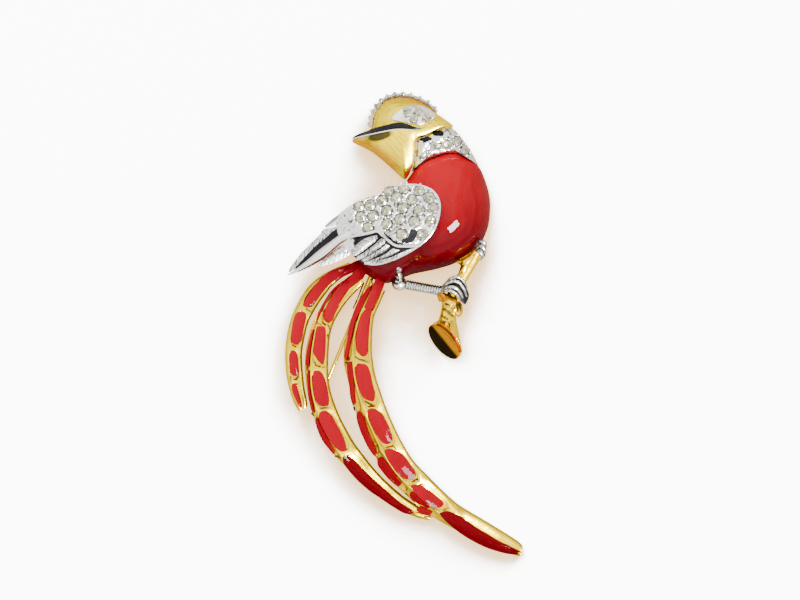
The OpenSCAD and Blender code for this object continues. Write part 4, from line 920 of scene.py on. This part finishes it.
bridge_marks = marks([
    (-20.56, 3.46), (-19.49, 2.74), (-23.81, -10.63), (-23.58, -12.14), (-22.07, -10.67), (-22.7, -11.09),
    (-21.27, -14.62), (-20.93, -16.55), (-18.44, 0.58), (-17.28, 0.04), (-15.96, 0.08), (-15.54, -1.1),
    (-16.1, -1.9), (-15.98, -2.78), (-20.35, -8.03), (-20.26, -9.2), (-18.77, -7.61), (-18.41, -8.49),
    (-17.18, -8.85), (-16.46, -8.68), (-19.46, -18.36), (-18.96, -19.03), (-17.7, -17.52), (-15.6, -17.25),
    (-10.39, -6.54), (-9.13, -7.25), (-9.13, -7.25), (-7.41, -7.78), (-12.24, -7.73), (-11.69, -8.28),
    (-10.69, -17.42), (-10.39, -18.07), (-8.25, -15.88), (-6.28, -16.81), (-14.51, -27.47), (-13.33, -27.81),
    (-5.9, -25.06), (-4.76, -27.05), (-4.76, -27.05), (-3.67, -28.42), (-2.45, -25.04), (-1.7, -26.05),
    (-3.15, -29.93), (-1.13, -32.47), (-1.13, -32.47), (1.16, -33.65), (2.35, -32.51), (3.26, -32.93),
    (5.4, -38.1), (7.46, -39.32), (1.49, -39.15), (2.33, -39.95), (4.27, -40.41), (5.95, -40.62),
    (-8.54, 8.86), (-10.01, 5.29), (-10.01, 5.29), (-10.9, 3.4), (-7.33, 10.24), (-7.91, 8.65),
    (-6.61, 10.33), (-6.86, 8.86), (-10.85, 10.62), (-12.24, 9.07), (-13.92, 8.44), (-15.39, 6.55),
    (-15.39, 6.55), (-16.4, 4.66), (-16.4, 4.66), (-17.15, 2.77)])


def tail_top(x, y):
    return highest(tail_height, x, y, 0.25, 1.2)


wire("tail_middle_side_strip", on([
    (-11.4, 10.12), (-13.29, 8.73), (-15.05, 7.18), (-16.52, 4.95), (-17.7, 2.64), (-18.54, 0.25)], tail_top,
    -0.05), 0.3, side_red, taper=(0.5, 1, 1, 1, 1, 0.5))
GROOVE_RADIUS = 0.2
groove_bm = bmesh.new()
for line in bridge_marks:
    a, b = (Vector((x, y, tail_top(x, y) - GROOVE_RADIUS * 0.3)) * MM for x, y in line)
    turn = (b - a).to_track_quat("Z", "X").to_matrix().to_4x4()
    bmesh.ops.create_cone(groove_bm, cap_ends=True, segments=8, radius1=GROOVE_RADIUS * MM,
                          radius2=GROOVE_RADIUS * 0.6 * MM, depth=(b - a).length,
                          matrix=Matrix.Translation((a + b) / 2) @ turn)
make_piece(groove_bm, "tail_bridge_grooves", oxide, sharp=50)

# Legs: cast and rhodium plated. The near one has a ball knee, a ribbed shank and toes that
# clasp the branch, and of the far one only the toes show.
leg_silver = plated("leg_rhodium", (0.85, 0.84, 0.8), (0.55, 0.54, 0.5), (0.012, 0.012, 0.012),
                    polish=(0.1, 0.28), grain=1900.0, bump=0.7, cut=0.6, cut_colour=(0.1, 0.1, 0.09))
PERCH = 4.7
KNEE = (-1.05, 8.77)
ANKLE = (7.71, 7.18)


def turned(name, start, end, profile, material):
    """A turned piece of the near leg: profile gives distances from start towards end, with the
    radius there."""
    bm = bmesh.new()
    first = bm.verts.new((profile[0][1] * MM, 0, profile[0][0] * MM))
    chain = [first]
    for along, radius in profile[1:]:
        new = bmesh.ops.extrude_vert_indiv(bm, verts=[chain[-1]])["verts"][0]
        new.co = Vector((radius, 0, along)) * MM
        chain.append(new)
    bmesh.ops.spin(bm, geom=list(bm.verts) + list(bm.edges), cent=(0, 0, 0), axis=(0, 0, 1), angle=math.tau,
                   steps=28, use_merge=True)
    bmesh.ops.remove_doubles(bm, verts=bm.verts, dist=2e-7)
    a, b = Vector(start) * MM, Vector(end) * MM
    turn = (b - a).to_track_quat("Z", "X").to_matrix().to_4x4()
    bmesh.ops.transform(bm, matrix=Matrix.Translation(a) @ turn, verts=bm.verts)
    return make_piece(bm, name, material, ["near_leg"], sharp=70)


KNEE_RADIUS = 1.6
knee = turned("near_knee", (*KNEE, PERCH), (*ANKLE, PERCH),
              [(-KNEE_RADIUS * math.cos(math.radians(a)), KNEE_RADIUS * math.sin(math.radians(a)))
               for a in range(0, 181, 10)], bright_silver)


def ball_shade(x, y, z):
    """Dark bands on the polished ball, as it mirrors what lies round it."""
    dx, dy = x - KNEE[0], y - KNEE[1]
    band = 1 - abs(dy - 0.1 - 0.2 * math.sin(2.6 * dx)) / 0.4
    arc = 1 - abs(math.hypot(dx + 0.1, dy - 0.2) - 1.05) / 0.3 if dy > 0.1 else 0.0
    return 3.0 * max(band, arc)


paint(knee, ball_shade)
FIRST_RIB, RIB_PITCH, RIB_COUNT = 1.45, 0.535, 14
rib_rows = []
for i in range(RIB_COUNT):
    along = FIRST_RIB + i * RIB_PITCH
    rib_rows += [(along, 0.86), (along + 0.08, 1.08), (along + 0.4, 1.08), (along + 0.47, 0.86)]
shank = turned("near_shank", (*KNEE, PERCH), (*ANKLE, PERCH), rib_rows, leg_silver)


def shank_shade(x, y, z):
    """Painted shade: dark between the ribs, and darker along the upper side."""
    ux, uy = ((ANKLE[m] - KNEE[m]) / math.dist(KNEE, ANKLE) for m in (0, 1))
    side = (y - KNEE[1]) * ux - (x - KNEE[0]) * uy
    radius = math.hypot(side, z - PERCH)
    return (1.0 if radius < 0.95 else 0.0) + 6.0 * max(0.0, side - 0.42)


paint(shank, shank_shade)
thigh_rows = [
    (0, 0.3), (0.4, 0.65), (1, 0.8), (1.6, 0.7), (1.9, 0.5), (2.2, 0.5), (2.5, 0.72), (3, 0.8), (3.4, 0.6),
    (3.8, 0.7)]
thigh = turned("near_thigh", (-1.28, 12.74, PERCH + 3.2), (-1.07, 9.28, PERCH + 0.9), thigh_rows, leg_silver)
# Painted dark stripes: reflections on the polished thigh.
paint(thigh, lambda x, y, z: 4.0 * (math.sin(6.5 * y + 2.5 * x) + 0.35))
web = leaf("near_foot_web", [
    (7.5, 7.18), (7.79, 8.1), (8.97, 9.38), (10.02, 10.16), (11.07, 10.37), (12.33, 9.57), (13.25, 7.6),
    (13.59, 6.02), (12.85, 4.4), (12.2, 4.74), (11.49, 5.79), (10.44, 6.63), (9.1, 7.13), (7.84, 6.76)],
    lambda x, y: 6.6 - 0.16 * (x - 10.8) ** 2, 0.0, 0.5, 2.6, leg_silver, count=64,
    replaced=["near_leg"])
# Painted shade: the web's top is dark all over, as the gaps between the toes are.
paint(web, lambda x, y, z: 1.0)
toes = [
    [(7.63, 6.71), (8.97, 7.26), (10.23, 6.92), (11.28, 6), (11.91, 4.95)],
    [(7.71, 7.09), (9.1, 7.93), (10.44, 7.89), (11.62, 6.88), (12.5, 4.78)],
    [(7.92, 7.64), (9.39, 8.98), (10.94, 9.15), (12.25, 7.89), (13.13, 5.79)],
    [(8.47, 8.44), (9.89, 9.82), (11.2, 10.07), (12.46, 9.11), (13.25, 7.3)]]
toe_heights = (5.8, 7.6, 8.0, 7.3, 5.6)
toe_sizes = (0.34, 0.37, 0.38, 0.36)
for i, path in enumerate(toes):
    toe = wire("near_toe_%d" % (i + 1), [(x, y, z) for (x, y), z in zip(path, toe_heights)], toe_sizes[i],
               leg_silver, taper=(0.8, 1.0, 1.0, 0.85, 0.35), replaced=["near_leg"])
    # Painted dark bands of shade across the toes.
    paint(toe, lambda x, y, z: 4.0 * (math.sin(8.5 * x - 3.5 * y + 2.0 * i) - 0.55))
far_foot = make_piece(copy_of("far_foot"), "far_foot_cast", leg_silver, ["far_foot"], sharp=60)
# Painted dark bands of shade across the far foot.
paint(far_foot, lambda x, y, z: 4.0 * (math.sin(4.3 * y + 2 * x) - 0.3))
far_toes = [
    [(15.06, 15.79), (16, 15.16), (16.11, 13.69)],
    [(15.27, 16.84), (16.53, 16.21), (16.84, 14.53)],
    [(15.48, 17.68), (16.63, 17.36), (17.05, 16)]]
for i, path in enumerate(far_toes):
    toe = wire("far_toe_%d" % (i + 1), [(x, y, z) for (x, y), z in zip(path, (5.5, 6.3, 4.4))], 0.5,
               leg_silver, taper=(0.9, 1.0, 0.4))
    # Painted dark bands of shade across the far toes.
    paint(toe, lambda x, y, z: 4.0 * (math.sin(7.5 * x + 3.0 * y + i) - 0.45))

# Branch: cast and gold plated, cut off obliquely at its flared lower end, with a cut twig at
# the side, a knob, and torn bark under the near foot.
branch_gold = plated("branch_gold", (1.0, 0.74, 0.0), (0.86, 0.5, 0.0), (0.06, 0.04, 0.01),
                     polish=(0.08, 0.22), grain=1100.0, bump=0.3, warm_reflection=(0.75, 0.32, 0.0))
branch_bm = copy_of("branch")
bmesh.ops.subdivide_edges(branch_bm, edges=branch_bm.edges, cuts=5, use_grid_fill=True)
branch = make_piece(branch_bm, "branch_cast", branch_gold, ["branch"], sharp=45)
tube_marks = marks([
    (8.76, 4.45), (10.02, 3.61), (8.23, 3.4), (9.6, 2.77), (9.18, 2.56), (10.23, 1.93), (7.92, 1.93),
    (8.97, 1.3), (10.96, 4.76), (11.28, 2.56), (14.64, 14.95), (15.27, 14.11), (12.12, 13.27),
    (11.49, 11.59)])
# A painted warm reflection in a line along the branch.
paint(branch, lambda x, y, z: line_shade(x, y, [(7.29, 5.81), (8.97, 5.71), (10.86, 5.29)], 1.1), "warm_reflection")


def tube_shade(x, y, z):
    """Painted shade in the short marks on the bark."""
    return 2.5 * max(line_shade(x, y, line, 0.32) for line in tube_marks)


paint(branch, tube_shade)
wire("branch_upper_end", [(13.51, 12.43, PERCH), (14.43, 13.98, PERCH), (15.35, 15.66, PERCH)], 1.25,
     branch_gold)
fork = leaf("branch_fork", [
    (10.78, 13.39), (12.12, 14.27), (13.8, 15.24), (15.06, 15.91), (15.77, 15.24), (14.93, 13.9),
    (13.97, 12.68), (13.13, 11.46), (12.46, 10.12), (11.24, 10.24), (11.62, 11.67), (11.78, 12.64)],
    level(5.2), 0.2, 0.9, 1.4, branch_gold, count=64, rings=8)
paint(fork, tube_shade)
warm_gold = plated("warm_gold", (0.44, 0.18, 0.0), (0.3, 0.1, 0.0), (0.05, 0.025, 0.0), polish=(0.1, 0.25))
torn = leaf("branch_torn_collar", [
    (6.95, 6.67), (7.71, 6.88), (8.76, 6.71), (10.02, 6.21), (11.03, 5.5), (11.11, 4.66), (10.57, 4.87),
    (10.27, 4.32), (9.77, 4.82), (9.35, 4.4), (8.84, 4.95), (8.3, 4.66), (7.88, 5.2), (7.37, 4.91),
    (7, 5.71)], level(5.6), 0.3, 0.6, 1.6, warm_gold, count=90)
paint(torn, lambda x, y, z: 3.0 * (math.sin(6.0 * x + 2.0 * y) - 0.75))
knob = leaf("branch_knob", [
    (10.69, 4.87), (11.49, 4.99), (12.2, 4.32), (12.33, 3.19), (12.08, 2.14), (11.36, 1.72), (10.65, 2.43),
    (10.48, 3.82)], level(4.6), 0.3, 1.0, 2.0, branch_gold, count=48, rings=8)
paint(knob, lambda x, y, z: 1.6 * patch_shade(x, y, (11.36, 3.61), (0.85, 1.5)))
FLARE_MIDDLE = Vector((8.858, -3.048, 4.7))
FLARE_RADIUS, FLARE_RIM = 4.5, 0.3
flare_long = Vector((0.63, -0.77, 0)).normalized()
flare_out = Vector((-0.7, -0.57, 0.42)).normalized()
face_bm = bmesh.new()
dark_reflection = face_bm.verts.layers.float.new("painted_shade")
reflection_warmth = face_bm.verts.layers.float.new("warm_reflection")
bmesh.ops.create_circle(face_bm, cap_ends=True, segments=72, radius=FLARE_RADIUS * MM)
for i in range(14):
    bmesh.ops.inset_region(face_bm, faces=[max(face_bm.faces, key=lambda f: len(f.verts))],
                           thickness=0.3 * MM, use_boundary=True, use_even_offset=True)
# Painted reflection on the polished cut face: dark over one side and a warm orange band across it, as a
# concave face would mirror.
for v in face_bm.verts:
    across = (v.co / MM).y / FLARE_RADIUS
    inside = (v.co / MM).length < FLARE_RADIUS - FLARE_RIM
    v[dark_reflection] = min(1.0, max(0.0, (0.35 - across) * 5)) if inside else 0.0
    v[reflection_warmth] = min(1.0, max(0.0, 1 - abs(across - 0.6) / 0.35)) if inside else 0.0
    v.co.z = (0.1 if inside else -0.05) * MM
turned_face = Matrix((flare_long, flare_out.cross(flare_long), flare_out)).transposed().to_4x4()
bmesh.ops.transform(face_bm, matrix=Matrix.Translation((FLARE_MIDDLE + flare_out * 0.9) * MM) @ turned_face,
                    verts=face_bm.verts)
# The face's darker gold is painted reflection as well.
cut_gold = plated("cut_gold", (0.5, 0.3, 0.0), (0.6, 0.22, 0.0), (0.012, 0.01, 0.004), polish=(0.25, 0.4),
                  warm_reflection=(0.75, 0.32, 0.0))
make_piece(face_bm, "branch_cut_face", cut_gold, sharp=40)

# Pin: a straight gold-plated wire, ground to a sharp point. It turns on the rivet of the
# hinge and springs into the catch.
# The pin's gold is brighter than the casting's: painted light, as the pin lies low in shade.
pin_gold = plated("pin_gold", (1.0, 0.7, 0.0), (1.0, 0.58, 0.0), (0.1, 0.05, 0.02), polish=(0.1, 0.2))
dress("pin_stem", pin_gold)

# Setting: the brooch lies on plain pale paper under soft lights, with the camera straight
# above it.
floor_bm = bmesh.new()
bmesh.ops.create_grid(floor_bm, x_segments=1, y_segments=1, size=0.6,
                      matrix=Matrix.Translation((0, 0, -0.00006)))
floor_mesh = bpy.data.meshes.new("floor")
floor_bm.to_mesh(floor_mesh)
floor_bm.free()
paper, tree, shader = new_material("pale_paper")
fibre = add_node(tree, "TexNoise", Vector=object_place(tree), Scale=900.0, Detail=3.0)
# The paper glows for the camera only. Where the brooch shelters it from light from above, the glow turns to a
# painted warm beige shadow.
light_from = add_node(tree, "CombineXYZ", X=0.1, Y=0.7, Z=0.7)
shelter = add_node(tree, "AmbientOcclusion", {"samples": 16}, Distance=0.016, Normal=light_from.outputs[0])
open_share = spread(tree, shelter.outputs["AO"], 0.7, 0.87, way="SMOOTHSTEP")
seen = add_node(tree, "LightPath").outputs["Is Camera Ray"]
feed(shader, Roughness=0.9, Specular_IOR_Level=0.1,
     Base_Color=colour_mix(tree, fibre.outputs["Fac"], (0.38, 0.36, 0.33), (0.42, 0.4, 0.37)),
     Emission_Color=colour_mix(tree, open_share, (0.2, 0.115, 0.04), (1.0, 1.0, 1.0)),
     Emission_Strength=reckon(tree, "MULTIPLY", seen, 10.0))
floor_mesh.materials.append(paper)
new_object("floor", floor_mesh)

camera_data = bpy.data.cameras.new("camera")
camera_data.lens = 96.4
camera_data.sensor_width = 36
camera_data.clip_start = 0.01
camera = new_object("camera", camera_data)
camera.location = (-0.0009, 0.005285, 0.455)
bpy.context.scene.camera = camera


LIT_PLACE = (0.005, 0.02, 0)


def soft_light(name, place, size, watts, mirrored):
    """A lamp aimed at the brooch, seen only in its reflections or else only in its light."""
    data = bpy.data.lights.new(name, "AREA")
    data.shape = "RECTANGLE"
    data.size, data.size_y = size
    data.energy = watts
    lamp = new_object(name, data)
    lamp.visible_glossy = mirrored
    lamp.visible_diffuse = not mirrored
    lamp.location = place
    lamp.rotation_euler = (Vector(LIT_PLACE) - Vector(place)).to_track_quat("-Z", "Y").to_euler()


soft_light("window", (0.181, -0.198, 0.34), (0.14, 0.11), 14.0, True)
soft_light("ceiling", (-0.08, 0.26, 0.36), (0.3, 0.3), 4.0, False)

world = bpy.data.worlds.new("studio")
bpy.context.scene.world = world
world.use_nodes = True
sky = world.node_tree
around = add_node(sky, "TexCoord").outputs["Generated"]
height = add_node(sky, "SeparateXYZ", Vector=around).outputs["Z"]
ramp = add_node(sky, "ValToRGB", Fac=height)
sky_greys = ((0.0, 0.4), (0.2, 0.28), (0.42, 0.55), (0.55, 1.0), (0.86, 1.0), (0.95, 0.86), (1.0, 0.86))
for place, grey in sky_greys:
    if place in (0.0, 1.0):
        stop = ramp.color_ramp.elements[int(place)]
    else:
        stop = ramp.color_ramp.elements.new(place)
    stop.color = (grey, grey, grey, 1)
panels = add_node(sky, "TexNoise", Vector=around, Scale=2.2, Detail=0.0)
panel_tone = colour_mix(sky, spread(sky, height, 0.9, 0.95),
                        spread(sky, panels.outputs["Fac"], 0.42, 0.56, 0.4), (1.0, 1.0, 1.0))
feed(sky.nodes["Background"], Strength=2.9,
     Color=colour_mix(sky, 1.0, ramp.outputs["Color"], panel_tone, "MULTIPLY"))
